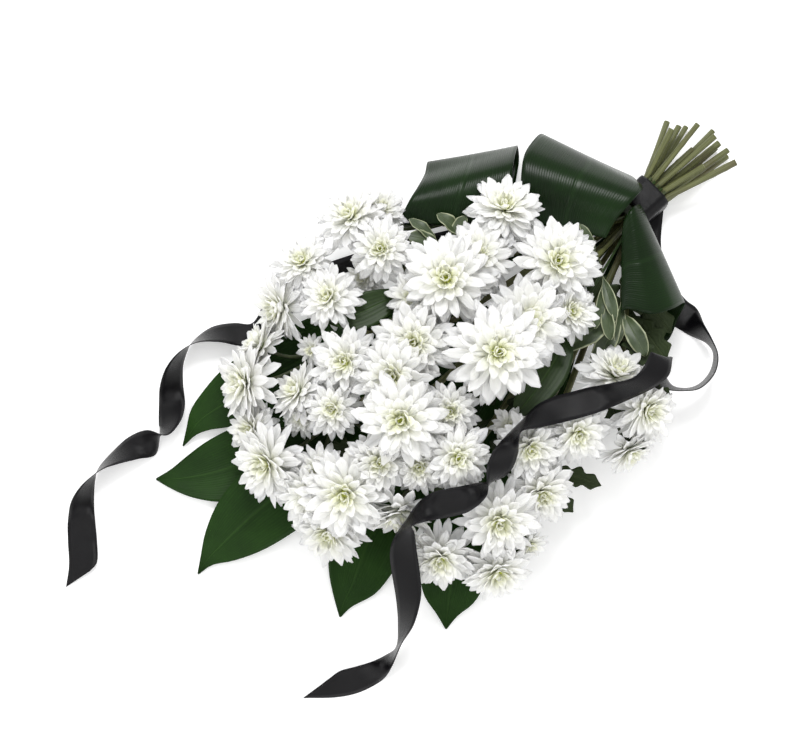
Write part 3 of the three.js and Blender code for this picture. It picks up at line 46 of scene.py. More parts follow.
# ------------------------------------------------------------------ where the pieces are, mm, as in the CAD
TIE = [3.8,254.5,16.0]
BUNDLE_OUTLINE = [[16.2,5.0],[15.8,21.0],[15.4,22.5],[14.3,23.6],[9.7,27.5],[-8.6,27.7],[-14.3,23.6],[-15.4,22.5],[-15.8,21.0],[-16.3,5.0],[-15.2,3.4],[14.1,3.2],[16.0,4.0]]
SPRAYS = [
    {"n": "01", "stem": [[-23.6,311.5,33.0],[-9.0,268.5,21.0],[-9.0,227.5,21.0],[-97.4,104.3,41.3]],
     "br": [[[-97.4,104.3,41.3],[-109.7,85.4,43.7],[-122.6,66.0,46.5],[-134.8,50.9,52.2],[-144.6,45.2,63.2]],[[-97.4,104.3,41.3],[-108.2,90.7,41.3],[-121.3,77.2,40.2],[-132.9,68.1,42.5],[-138.8,67.8,52.5]],[[-97.4,104.3,41.3],[-104.6,86.9,45.6],[-107.2,68.3,53.3],[-107.4,52.8,64.4],[-107.8,44.7,78.8]]],
     "heads": [["H1",-148.4,45.5,70.0,-0.494,0.04,0.869,26.2],["H2",-139.5,69.8,58.0,-0.112,0.338,0.934,19.6],["H3",-108.3,43.4,86.0,-0.073,-0.178,0.981,24.3]],
     "leaves": []},
    {"n": "02", "stem": [[-34.9,321.0,3.4],[-9.0,268.5,9.9],[-9.0,227.5,9.9],[-97.1,41.9,36.0]],
     "br": [[[-97.1,41.9,36.0],[-108.6,22.9,38.1],[-123.1,5.0,41.9],[-136.8,-7.9,49.2],[-146.0,-12.1,61.6]],[[-97.1,41.9,36.0],[-106.7,18.9,37.4],[-115.3,-4.7,38.5],[-123.3,-26.1,41.0],[-131.3,-42.1,46.4]],[[-97.1,41.9,36.0],[-102.3,24.2,40.4],[-103.8,6.8,49.7],[-104.3,-7.3,62.4],[-106.5,-15.1,77.3]],[[-97.1,41.9,36.0],[-99.2,35.8,38.3],[-99.7,31.1,43.3],[-100.1,26.9,50.2],[-101.8,22.2,58.1]]],
     "heads": [["H5",-148.4,-11.5,68.0,-0.345,0.088,0.934,22.9],["H6",-135.1,-48.1,50.0,-0.485,-0.751,0.449,26.5],["H7",-108.2,-16.7,84.0,-0.238,-0.221,0.946,23.5],["H4",-103.2,19.7,62.0,-0.287,-0.516,0.807,16.1]],
     "leaves": [[-88.6,59.7,33.5,-114.3,35.9,52.0,10,19.0]]},
    {"n": "03", "stem": [[-20.1,330.2,3.4],[-2.6,268.5,9.9],[-2.6,227.5,9.9],[-79.2,-25.9,27.0]],
     "br": [[[-79.2,-25.9,27.0],[-85.3,-43.4,28.6],[-93.5,-59.8,31.9],[-104.0,-73.1,36.3],[-117.2,-81.5,41.6]],[[-79.2,-25.9,27.0],[-85.0,-48.8,28.8],[-90.2,-71.8,32.7],[-95.8,-92.2,38.6],[-102.8,-107.0,46.6]],[[-79.2,-25.9,27.0],[-77.6,-45.0,31.5],[-68.0,-63.1,41.4],[-59.9,-78.0,53.8],[-62.9,-86.9,65.6]],[[-79.2,-25.9,27.0],[-82.2,-34.7,30.0],[-84.8,-40.8,37.2],[-86.8,-46.3,47.3],[-88.3,-53.1,58.9]]],
     "heads": [["H8",-123.3,-83.7,44.0,-0.885,-0.318,0.339,23.1],["H21",-107.7,-113.6,52.0,-0.494,-0.673,0.551,32.4],["H22",-67.7,-89.0,70.0,-0.706,-0.312,0.636,22.8],["H7b",-88.7,-55.2,62.0,-0.087,-0.561,0.823,12.7]],
     "leaves": [[-71.8,-1.6,25.4,-102.9,-21.5,48.0,11,-11.0]]},
    {"n": "04", "stem": [[-1.0,345.2,3.4],[3.8,268.5,9.9],[3.8,227.5,9.9],[-34.3,-69.4,29.0]],
     "br": [[[-34.3,-69.4,29.0],[-36.3,-89.6,30.9],[-37.7,-109.6,35.2],[-39.1,-127.3,42.4],[-41.0,-140.9,52.8]],[[-34.3,-69.4,29.0],[-40.6,-88.8,28.7],[-51.8,-106.7,28.2],[-63.9,-122.1,30.7],[-72.6,-133.7,39.2]],[[-34.3,-69.4,29.0],[-37.4,-79.3,31.5],[-42.6,-86.3,37.9],[-47.8,-92.1,47.4],[-51.2,-98.4,59.7]],[[-34.3,-69.4,29.0],[-30.5,-89.7,31.9],[-18.7,-107.9,38.5],[-5.7,-123.1,48.3],[1.5,-134.3,60.8]]],
     "heads": [["H27",-42.4,-147.2,60.0,-0.143,-0.658,0.739,32.3],["H28",-74.8,-137.3,44.0,-0.341,-0.561,0.754,21.4],["H25",-51.8,-100.6,64.0,-0.116,-0.461,0.88,16.1],["H29",2.6,-139.0,68.0,0.126,-0.541,0.831,28.8]],
     "leaves": [[-27.0,-12.4,25.3,-22.7,-54.9,40.0,12,-5.0],[-32.5,-55.1,28.1,-52.0,-86.3,40.0,11,-0.0]]},
    {"n": "05", "stem": [[0.3,316.6,17.5],[0.6,268.5,15.4],[0.6,227.5,15.4],[3.4,-54.8,46.0]],
     "br": [[[3.4,-54.8,46.0],[5.9,-73.7,49.2],[11.4,-91.7,55.4],[17.5,-106.4,64.9],[21.6,-115.7,78.2]],[[3.4,-54.8,46.0],[6.9,-79.6,45.9],[15.1,-104.3,43.7],[24.5,-125.9,43.7],[31.4,-141.4,49.9]],[[3.4,-54.8,46.0],[1.3,-73.9,47.7],[-3.3,-93.0,50.6],[-7.4,-109.1,56.9],[-8.2,-119.2,68.6]],[[3.4,-54.8,46.0],[-2.7,-65.5,49.1],[-16.2,-70.4,55.7],[-29.7,-73.0,65.8],[-35.9,-76.6,79.6]]],
     "heads": [["H30",23.0,-119.5,88.0,0.13,-0.355,0.926,35.2],["H31",34.0,-147.9,56.0,0.279,-0.7,0.658,30.7],["H32",-7.6,-121.3,74.0,0.107,-0.371,0.922,19.4],["H24",-36.0,-78.7,86.0,-0.009,-0.317,0.948,22.7]],
     "leaves": [[8.7,-82.7,52.3,-18.0,-104.1,50.0,12,15.0],[-22.9,-71.7,60.8,-62.5,-44.2,60.0,12,15.0],[2.9,-0.6,40.1,-4.4,-36.7,46.0,12,17.0]]},
    {"n": "06", "stem": [[-23.2,322.2,17.5],[-5.8,268.5,15.4],[-5.8,227.5,15.4],[-26.6,40.0,70.0]],
     "br": [[[-26.6,40.0,70.0],[-32.9,15.2,72.4],[-42.8,-10.5,71.9],[-52.2,-31.6,74.0],[-57.0,-42.7,84.0]],[[-26.6,40.0,70.0],[-27.1,20.8,73.7],[-25.0,1.0,77.6],[-22.0,-15.3,84.4],[-20.1,-24.2,96.8]],[[-26.6,40.0,70.0],[-27.7,30.1,72.5],[-28.3,20.7,76.1],[-28.6,13.2,82.2],[-28.7,8.8,92.4]]],
     "heads": [["H23",-57.5,-44.9,92.0,-0.07,-0.261,0.963,27.6],["H19",-19.6,-26.4,106.0,0.05,-0.234,0.971,31.6],["H15",-28.7,7.0,102.0,0.002,-0.181,0.983,32.5]],
     "leaves": [[-22.6,76.0,59.5,-47.5,38.5,46.0,13,-13.0],[-21.6,85.0,56.9,-53.6,97.3,44.0,10,9.0]]},
    {"n": "07", "stem": [[12.0,337.3,17.5],[7.0,268.5,15.4],[7.0,227.5,15.4],[24.6,11.8,74.0]],
     "br": [[[24.6,11.8,74.0],[23.0,-6.3,78.6],[17.7,-23.9,84.8],[12.5,-38.0,94.1],[11.3,-45.4,107.6]],[[24.6,11.8,74.0],[25.2,-14.8,76.8],[24.0,-43.1,77.3],[22.9,-66.7,80.3],[23.7,-79.2,90.7]],[[24.6,11.8,74.0],[28.6,-9.1,76.1],[35.4,-30.5,76.5],[42.6,-48.3,79.5],[47.8,-58.1,89.9]],[[24.6,11.8,74.0],[25.7,4.2,76.8],[27.4,-1.8,81.5],[29.6,-6.4,88.4],[31.8,-9.6,97.6]]],
     "heads": [["H26",12.6,-47.4,118.0,0.123,-0.187,0.975,35.5],["H33",24.8,-81.4,98.0,0.145,-0.288,0.947,25.8],["H35",49.1,-59.9,96.0,0.202,-0.27,0.942,21.7],["H36",33.2,-11.1,104.0,0.208,-0.227,0.951,22.4]],
     "leaves": [[19.5,73.9,57.1,1.5,33.8,44.0,14,25.0],[23.7,-49.0,78.0,34.0,-89.8,44.0,11,3.0],[18.7,84.3,54.3,59.9,108.2,48.0,12,19.0],[14.5,136.0,40.2,67.7,125.2,40.0,12,-14.0],[11.5,172.2,30.4,61.8,162.4,24.0,14,-1.0]]},
    {"n": "08", "stem": [[6.7,334.6,33.0],[3.8,268.5,21.0],[3.8,227.5,21.0],[-34.3,124.1,66.0]],
     "br": [[[-34.3,124.1,66.0],[-39.0,105.6,71.3],[-43.3,86.1,76.4],[-46.6,70.4,84.0],[-48.3,63.2,96.8]],[[-34.3,124.1,66.0],[-41.1,98.8,69.8],[-48.1,71.0,69.0],[-54.2,47.8,70.0],[-58.4,36.3,79.5]],[[-34.3,124.1,66.0],[-37.2,115.0,68.5],[-40.6,105.8,71.1],[-43.7,98.9,75.8],[-45.8,96.3,84.8]]],
     "heads": [["H13",-48.7,62.3,108.0,-0.042,-0.079,0.996,37.3],["H14",-59.6,34.9,86.0,-0.173,-0.205,0.963,22.7],["H12",-46.7,96.6,94.0,-0.106,0.033,0.994,30.9]],
     "leaves": [[-51.2,59.4,69.5,-76.6,65.5,46.0,10,-22.0]]},
    {"n": "09", "stem": [[-11.2,331.3,33.0],[-2.6,268.5,21.0],[-2.6,227.5,21.0],[-18.1,186.0,50.0]],
     "br": [[[-18.1,186.0,50.0],[-26.1,170.1,54.6],[-38.2,154.3,56.9],[-50.6,143.3,61.1],[-59.4,141.5,71.4]],[[-18.1,186.0,50.0],[-22.5,173.3,51.2],[-27.7,158.7,48.9],[-32.0,147.5,49.0],[-33.7,144.8,57.5]],[[-18.1,186.0,50.0],[-18.2,171.1,56.7],[-12.3,156.4,64.1],[-4.8,145.4,73.8],[0.2,141.5,87.6]]],
     "heads": [["H9",-62.8,144.0,80.0,-0.354,0.26,0.898,32.0],["H10",-33.6,145.7,62.0,0.023,0.213,0.977,15.3],["H11",1.6,142.1,98.0,0.135,0.056,0.989,35.0]],
     "leaves": []},
    {"n": "10", "stem": [[19.6,308.6,33.0],[10.2,268.5,21.0],[10.2,227.5,21.0],[20.0,147.1,76.7]],
     "br": [[[20.0,147.1,76.7],[22.1,118.6,87.1],[22.5,86.8,94.1],[22.6,60.6,101.9],[24.1,49.0,114.4]],[[20.0,147.1,76.7],[20.9,129.5,81.1],[20.4,109.4,82.1],[20.0,93.2,85.1],[21.3,87.0,95.7]],[[20.0,147.1,76.7],[22.6,138.3,77.8],[27.4,128.7,76.0],[32.6,121.6,75.8],[36.6,120.1,81.4]]],
     "heads": [["H17",26.0,48.1,126.0,0.163,-0.08,0.983,39.5],["H16",23.1,87.5,106.0,0.165,0.052,0.985,34.9],["H18",38.5,121.8,88.0,0.266,0.234,0.935,23.5]],
     "leaves": [[16.7,174.1,58.0,30.5,125.2,36.0,13,-3.0]]},
    {"n": "11", "stem": [[12.0,336.2,3.4],[10.2,268.5,9.9],[10.2,227.5,9.9],[66.5,-14.0,46.0]],
     "br": [[[66.5,-14.0,46.0],[67.2,-24.1,52.1],[64.9,-28.1,65.1],[62.8,-29.5,81.7],[64.0,-31.3,98.4]],[[66.5,-14.0,46.0],[65.7,-35.0,51.0],[58.7,-55.7,59.4],[53.3,-74.4,67.8],[57.2,-89.1,72.8]],[[66.5,-14.0,46.0],[74.8,-36.9,45.8],[87.0,-59.0,43.3],[99.6,-77.8,43.1],[109.4,-90.6,49.9]]],
     "heads": [["H37",65.9,-32.8,106.0,0.241,-0.192,0.951,26.6],["H34",62.7,-95.3,74.0,0.665,-0.734,0.14,27.9],["H44",113.1,-95.2,56.0,0.436,-0.539,0.721,28.1]],
     "leaves": [[50.3,55.6,35.6,25.4,18.2,56.0,14,-6.0],[50.3,55.6,35.6,84.3,18.6,60.0,13,-5.0],[53.0,44.0,37.3,102.1,21.4,42.0,13,8.0],[66.3,-19.2,47.2,68.9,-64.2,40.0,12,-22.0],[36.8,113.5,26.9,53.7,67.9,30.0,15,10.0],[58.4,20.8,40.8,38.6,-24.2,26.0,14,0.0]]},
    {"n": "12", "stem": [[22.0,338.6,17.5],[13.4,268.5,15.4],[13.4,227.5,15.4],[118.2,9.1,30.0]],
     "br": [[[118.2,9.1,30.0],[121.2,-5.6,34.4],[119.4,-19.1,44.2],[117.6,-30.2,57.4],[120.7,-37.6,71.6]],[[118.2,9.1,30.0],[125.7,-11.6,31.0],[131.9,-33.3,32.8],[138.5,-52.0,36.9],[147.4,-64.0,44.8]],[[118.2,9.1,30.0],[124.8,-4.1,31.1],[132.4,-16.2,33.5],[141.4,-25.9,38.5],[152.2,-31.9,47.1]]],
     "heads": [["H42",124.9,-40.6,80.0,0.428,-0.31,0.849,32.8],["H45",152.9,-67.7,50.0,0.648,-0.446,0.617,28.2],["H43",155.4,-32.9,50.0,0.717,-0.23,0.658,14.5]],
     "leaves": [[113.2,19.6,29.3,161.4,47.7,34.5,9,-11.0],[88.0,72.0,25.8,137.1,58.6,44.0,12,-3.0],[119.9,-15.7,41.8,125.1,-52.5,30.0,11,9.0],[144.1,-27.4,40.6,162.9,-30.6,33.4,10,20.0],[134.7,-18.6,34.8,155.2,-51.5,30.0,10,19.0],[118.2,9.1,30.0,161.3,15.0,30.0,10,-24.0]]},
    {"n": "13", "stem": [[36.1,331.6,33.0],[16.6,268.5,21.0],[16.6,227.5,21.0],[77.6,70.4,52.0]],
     "br": [[[77.6,70.4,52.0],[82.4,54.4,56.1],[85.8,38.7,62.8],[89.5,26.0,72.3],[95.3,19.1,85.0]],[[77.6,70.4,52.0],[87.5,49.5,53.7],[100.0,28.9,53.7],[113.2,12.4,55.8],[125.1,3.6,63.7]],[[77.6,70.4,52.0],[78.7,55.2,55.0],[74.4,39.5,59.7],[70.0,26.7,67.5],[70.9,19.9,80.0]]],
     "heads": [["H39",98.9,17.6,92.0,0.449,-0.185,0.874,26.8],["H41",130.7,1.7,70.0,0.645,-0.219,0.732,28.8],["H46",72.3,19.2,84.0,0.325,-0.161,0.932,14.3]],
     "leaves": [[119.2,8.0,59.8,148.4,-0.4,62.0,11,1.0],[76.6,47.4,57.4,79.8,-2.0,40.0,15,-23.0],[54.2,130.7,40.1,122.0,121.9,30.0,14,-25.0],[57.1,123.2,41.6,29.6,66.7,34.0,14,-15.0],[28.1,197.8,26.9,77.2,177.1,30.0,14,-20.0],[46.7,150.0,36.3,104.3,127.6,24.0,15,8.0]]},
    {"n": "14", "stem": [[23.9,338.2,3.4],[16.6,268.5,9.9],[16.6,227.5,9.9],[90.6,141.7,36.0]],
     "br": [[[90.6,141.7,36.0],[98.4,129.3,39.5],[105.4,115.5,46.1],[109.0,106.7,55.0],[107.1,108.9,65.6]],[[90.6,141.7,36.0],[100.1,130.7,38.6],[110.7,121.5,42.8],[121.9,115.6,49.6],[133.2,114.3,59.6]],[[90.6,141.7,36.0],[103.9,124.4,38.1],[118.0,107.6,39.4],[132.8,93.9,41.0],[148.1,86.0,44.2]],[[90.6,141.7,36.0],[100.8,117.7,41.9],[104.3,90.5,51.7],[106.2,67.8,64.0],[111.7,57.1,77.5]]],
     "heads": [["H20",103.8,114.6,72.0,-0.352,0.619,0.702,30.4],["H47",139.3,115.1,66.0,0.685,0.09,0.723,29.7],["H48",154.6,84.3,46.0,0.933,-0.245,0.263,23.1],["H40",116.0,56.2,84.0,0.548,-0.126,0.827,26.0]],
     "leaves": [[144.3,88.0,43.4,164.3,98.2,41.2,9,-22.0],[72.8,162.3,29.7,112.1,140.3,56.0,14,-23.0],[101.7,110.9,44.4,130.2,94.0,50.0,13,24.0],[110.7,121.5,42.8,149.4,141.5,44.0,12,20.0],[33.1,208.4,15.7,87.2,194.8,24.0,14,17.0],[60.6,176.5,25.4,100.1,148.3,26.0,15,14.0],[63.1,173.6,26.3,120.6,167.6,22.0,14,11.0],[45.6,193.9,20.1,105.5,187.6,18.0,13,5.0],[90.6,141.7,36.0,136.1,124.0,20.0,14,2.0]]},
]
LEAVES = {
    "aspidistra_leaf_01": [
        [[-113.3,-189.8,3.0],[-112.8,-189.6,2.9],[-112.2,-189.4,3.0],1.2],
        [[-121.5,-177.5,6.0],[-116.6,-176.4,5.5],[-111.8,-175.2,6.0],1.2],
        [[-130.8,-163.7,8.0],[-118.8,-163.6,6.8],[-106.8,-163.6,8.0],1.2],
        [[-135.4,-144.3,10.0],[-116.7,-147.7,8.1],[-98.0,-151.1,10.0],1.2],
        [[-137.7,-117.1,12.0],[-111.3,-123.1,9.3],[-85.0,-129.0,12.0],1.2],
        [[-132.6,-82.1,13.0],[-103.4,-89.0,10.0],[-74.2,-95.9,13.0],1.2],
        [[-123.1,-42.4,12.5],[-94.1,-50.3,10.1],[-65.2,-58.2,12.5],1.2],
        [[-109.5,-4.7,11.5],[-82.8,-13.2,9.8],[-56.2,-21.8,11.5],1.2],
        [[-91.9,35.3,11.0],[-69.1,27.7,9.8],[-46.4,20.1,11.0],1.2],
        [[-71.6,73.8,10.6],[-55.4,68.8,9.9],[-39.1,63.8,10.6],1.2],
        [[-52.4,109.0,9.6],[-44.6,106.9,9.3],[-36.9,104.8,9.6],1.2],
        [[-39.5,133.6,8.4],[-37.8,133.1,8.3],[-36.0,132.6,8.4],1.2],
        [[-30.1,165.2,6.5],[-28.7,164.7,6.3],[-27.2,164.1,6.5],2.6],
        [[-3.8,227.9,5.0],[-2.3,227.5,4.8],[-0.8,227.2,5.0],2.6],
        [[-3.8,269.5,5.0],[-2.3,269.5,4.8],[-0.8,269.5,5.0],2.6],
    ],
    "aspidistra_leaf_02": [
        [[-108.0,-225.7,1.6],[-107.5,-226.1,1.5],[-107.1,-226.5,1.6],1.2],
        [[-104.8,-211.1,3.4],[-98.4,-216.6,2.5],[-91.9,-222.1,3.4],1.2],
        [[-103.7,-193.9,5.0],[-88.8,-204.0,3.2],[-73.9,-214.1,5.0],1.2],
        [[-101.4,-173.2,6.5],[-77.6,-185.9,3.8],[-53.8,-198.7,6.5],1.2],
        [[-94.4,-146.9,7.0],[-65.1,-159.8,3.8],[-35.8,-172.7,7.0],1.2],
        [[-82.3,-114.8,7.0],[-51.1,-125.6,3.7],[-19.9,-136.3,7.0],1.2],
        [[-71.5,-80.6,6.4],[-40.4,-88.2,3.8],[-9.3,-95.9,6.4],1.2],
        [[-62.3,-46.3,5.4],[-32.8,-51.5,3.6],[-3.2,-56.7,5.4],1.2],
        [[-53.3,-6.1,4.6],[-26.6,-9.6,3.2],[0.2,-13.1,4.6],1.2],
        [[-42.4,36.0,4.2],[-21.6,33.6,3.4],[-0.7,31.3,4.2],1.2],
        [[-28.0,76.3,4.2],[-17.1,75.1,3.8],[-6.1,73.8,4.2],1.2],
        [[-14.1,113.0,4.6],[-12.3,112.9,4.5],[-10.5,112.7,4.6],1.2],
        [[-10.9,152.6,6.0],[-9.4,152.4,5.8],[-7.9,152.3,6.0],2.6],
        [[0.3,227.7,5.0],[1.8,227.5,4.8],[3.2,227.4,5.0],2.6],
        [[0.3,269.5,5.0],[1.8,269.5,4.8],[3.3,269.5,5.0],2.6],
    ],
    "aspidistra_leaf_03": [
        [[-22.1,-254.9,1.6],[-21.5,-254.7,1.5],[-20.9,-254.6,1.6],1.2],
        [[-30.8,-243.1,4.0],[-24.8,-242.2,3.4],[-18.9,-241.3,4.0],1.2],
        [[-42.8,-226.6,7.0],[-25.8,-225.9,5.3],[-8.8,-225.2,7.0],1.2],
        [[-54.4,-201.6,10.0],[-26.4,-201.7,7.2],[1.6,-201.8,10.0],1.2],
        [[-59.5,-170.1,12.5],[-25.5,-172.0,9.1],[8.4,-173.9,12.5],1.2],
        [[-58.5,-129.7,14.0],[-22.7,-133.6,10.4],[13.1,-137.5,14.0],1.2],
        [[-51.7,-89.5,13.5],[-17.0,-94.2,10.7],[17.7,-99.0,13.5],1.2],
        [[-43.8,-52.2,12.4],[-12.0,-55.2,10.5],[19.9,-58.3,12.4],1.2],
        [[-37.9,-9.1,11.4],[-9.0,-10.6,9.9],[20.0,-12.1,11.4],1.2],
        [[-30.2,36.4,10.8],[-7.2,35.5,9.9],[15.8,34.6,10.8],1.2],
        [[-17.4,82.4,10.2],[-5.4,81.9,9.7],[6.5,81.3,10.2],1.2],
        [[-5.2,119.9,9.0],[-3.4,119.8,8.9],[-1.6,119.7,9.0],1.2],
        [[-2.2,156.4,6.5],[-0.7,156.3,6.3],[0.8,156.2,6.5],2.6],
        [[4.3,227.6,5.0],[5.8,227.5,4.8],[7.3,227.4,5.0],2.6],
        [[4.3,269.5,5.0],[5.8,269.5,4.8],[7.3,269.5,5.0],2.6],
    ],
    "aspidistra_leaf_04": [
        [[88.6,-190.6,1.6],[89.1,-190.3,1.5],[89.6,-190.0,1.6],1.2],
        [[76.0,-184.2,3.4],[82.8,-180.9,2.6],[89.5,-177.6,3.4],1.2],
        [[57.2,-173.1,5.0],[76.2,-164.3,2.9],[95.2,-155.4,5.0],1.2],
        [[40.4,-158.6,6.0],[66.5,-145.8,3.1],[92.5,-133.0,6.0],1.2],
        [[25.2,-135.3,7.0],[55.9,-123.1,3.7],[86.6,-110.9,7.0],1.2],
        [[13.1,-103.2,7.6],[45.7,-93.5,4.5],[78.3,-83.9,7.6],1.2],
        [[4.8,-66.8,7.8],[37.0,-59.5,5.8],[69.2,-52.1,7.8],1.2],
        [[-1.1,-28.0,7.6],[29.4,-22.7,6.0],[60.0,-17.3,7.6],1.2],
        [[-4.3,13.9,7.4],[23.5,17.5,6.3],[51.3,21.1,7.4],1.2],
        [[-4.1,57.0,7.2],[18.8,59.1,6.5],[41.7,61.2,7.2],1.2],
        [[3.9,99.9,7.0],[15.9,100.4,6.6],[27.9,100.9,7.0],1.2],
        [[13.9,135.7,6.4],[15.7,135.8,6.3],[17.5,135.8,6.4],1.2],
        [[13.6,165.4,6.0],[15.1,165.5,5.8],[16.6,165.6,6.0],2.6],
        [[8.4,227.4,5.0],[9.9,227.5,4.8],[11.4,227.6,5.0],2.6],
        [[8.4,269.5,5.0],[9.9,269.5,4.8],[11.4,269.5,5.0],2.6],
    ],
    "aspidistra_leaf_05": [
        [[158.2,-131.1,1.6],[158.7,-130.7,1.5],[159.1,-130.3,1.6],1.2],
        [[143.8,-128.0,4.0],[150.6,-122.1,3.1],[157.4,-116.2,4.0],1.2],
        [[126.2,-125.4,7.0],[142.5,-112.2,4.9],[158.9,-99.1,7.0],1.2],
        [[109.5,-115.6,10.0],[131.9,-98.8,7.2],[154.4,-82.1,10.0],1.2],
        [[92.5,-98.5,12.0],[119.3,-81.1,8.8],[146.2,-63.7,12.0],1.2],
        [[74.5,-72.5,13.0],[104.6,-56.7,9.6],[134.6,-40.8,13.0],1.2],
        [[59.4,-40.2,12.6],[90.7,-27.0,9.9],[122.0,-13.8,12.6],1.2],
        [[47.7,-4.1,12.0],[77.9,6.6,10.1],[108.0,17.2,12.0],1.2],
        [[38.3,34.4,11.4],[66.1,42.8,9.9],[93.8,51.3,11.4],1.2],
        [[32.2,74.4,11.0],[55.4,80.6,10.0],[78.6,86.8,11.0],1.2],
        [[33.3,115.6,10.4],[45.9,118.6,9.9],[58.6,121.7,10.4],1.2],
        [[36.6,151.0,9.0],[38.4,151.4,8.9],[40.1,151.9,9.0],1.2],
        [[28.8,178.5,6.5],[30.2,179.0,6.3],[31.7,179.4,6.5],2.6],
        [[12.4,227.3,5.0],[13.9,227.5,4.8],[15.4,227.8,5.0],2.6],
        [[12.4,269.5,5.0],[13.9,269.5,4.8],[15.4,269.5,5.0],2.6],
    ],
    "inner_leaf_01": [
        [[-98.2,-33.0,80.0],[-97.8,-33.3,80.0],[-97.4,-33.7,80.0],1.0],
        [[-96.2,-21.3,81.0],[-90.8,-24.8,80.3],[-85.3,-28.4,81.0],1.0],
        [[-97.1,-8.1,81.0],[-84.6,-13.2,79.7],[-72.2,-18.4,81.0],1.0],
        [[-93.8,7.0,80.0],[-79.5,2.7,78.5],[-65.1,-1.7,80.0],1.0],
        [[-82.4,25.3,76.0],[-73.7,22.7,75.1],[-65.1,20.1,76.0],1.0],
        [[-69.3,41.0,70.0],[-68.1,40.7,69.9],[-67.0,40.5,70.0],1.0],
        [[-58.6,99.1,60.0],[-57.5,98.9,59.9],[-56.4,98.6,60.0],1.8],
        [[-47.1,150.3,52.0],[-46.0,150.0,51.9],[-45.0,149.7,52.0],1.8],
        [[-33.4,189.9,52.0],[-32.3,189.4,51.9],[-31.3,189.0,52.0],1.8],
        [[-19.1,214.6,44.0],[-18.3,213.9,43.9],[-17.4,213.2,44.0],1.8],
        [[-1.5,227.9,25.9],[-0.5,227.5,25.8],[0.6,227.2,25.9],1.8],
        [[-1.6,269.5,25.9],[-0.5,269.5,25.8],[0.6,269.5,25.9],1.8],
    ],
    "inner_leaf_02": [
        [[70.3,25.4,82.0],[70.8,25.5,82.0],[71.3,25.5,82.0],1.0],
        [[59.8,38.9,84.0],[69.8,40.1,83.0],[79.7,41.3,84.0],1.0],
        [[52.0,56.2,84.0],[66.7,59.2,82.5],[81.4,62.3,84.0],1.0],
        [[46.2,75.1,82.0],[61.6,79.3,80.4],[77.1,83.5,82.0],1.0],
        [[46.2,96.3,77.0],[55.7,99.3,76.0],[65.2,102.4,77.0],1.0],
        [[48.6,115.9,70.0],[49.7,116.3,69.9],[50.8,116.7,70.0],1.0],
        [[34.1,154.8,58.0],[35.1,155.1,57.9],[36.2,155.5,58.0],1.8],
        [[23.5,189.8,50.0],[24.5,190.1,49.9],[25.5,190.4,50.0],1.8],
        [[13.9,217.2,38.0],[14.9,217.7,37.9],[15.9,218.1,38.0],1.8],
        [[7.0,227.4,25.9],[8.1,227.5,25.8],[9.2,227.7,25.9],1.8],
        [[7.0,269.5,25.9],[8.1,269.5,25.8],[9.2,269.5,25.9],1.8],
    ],
}
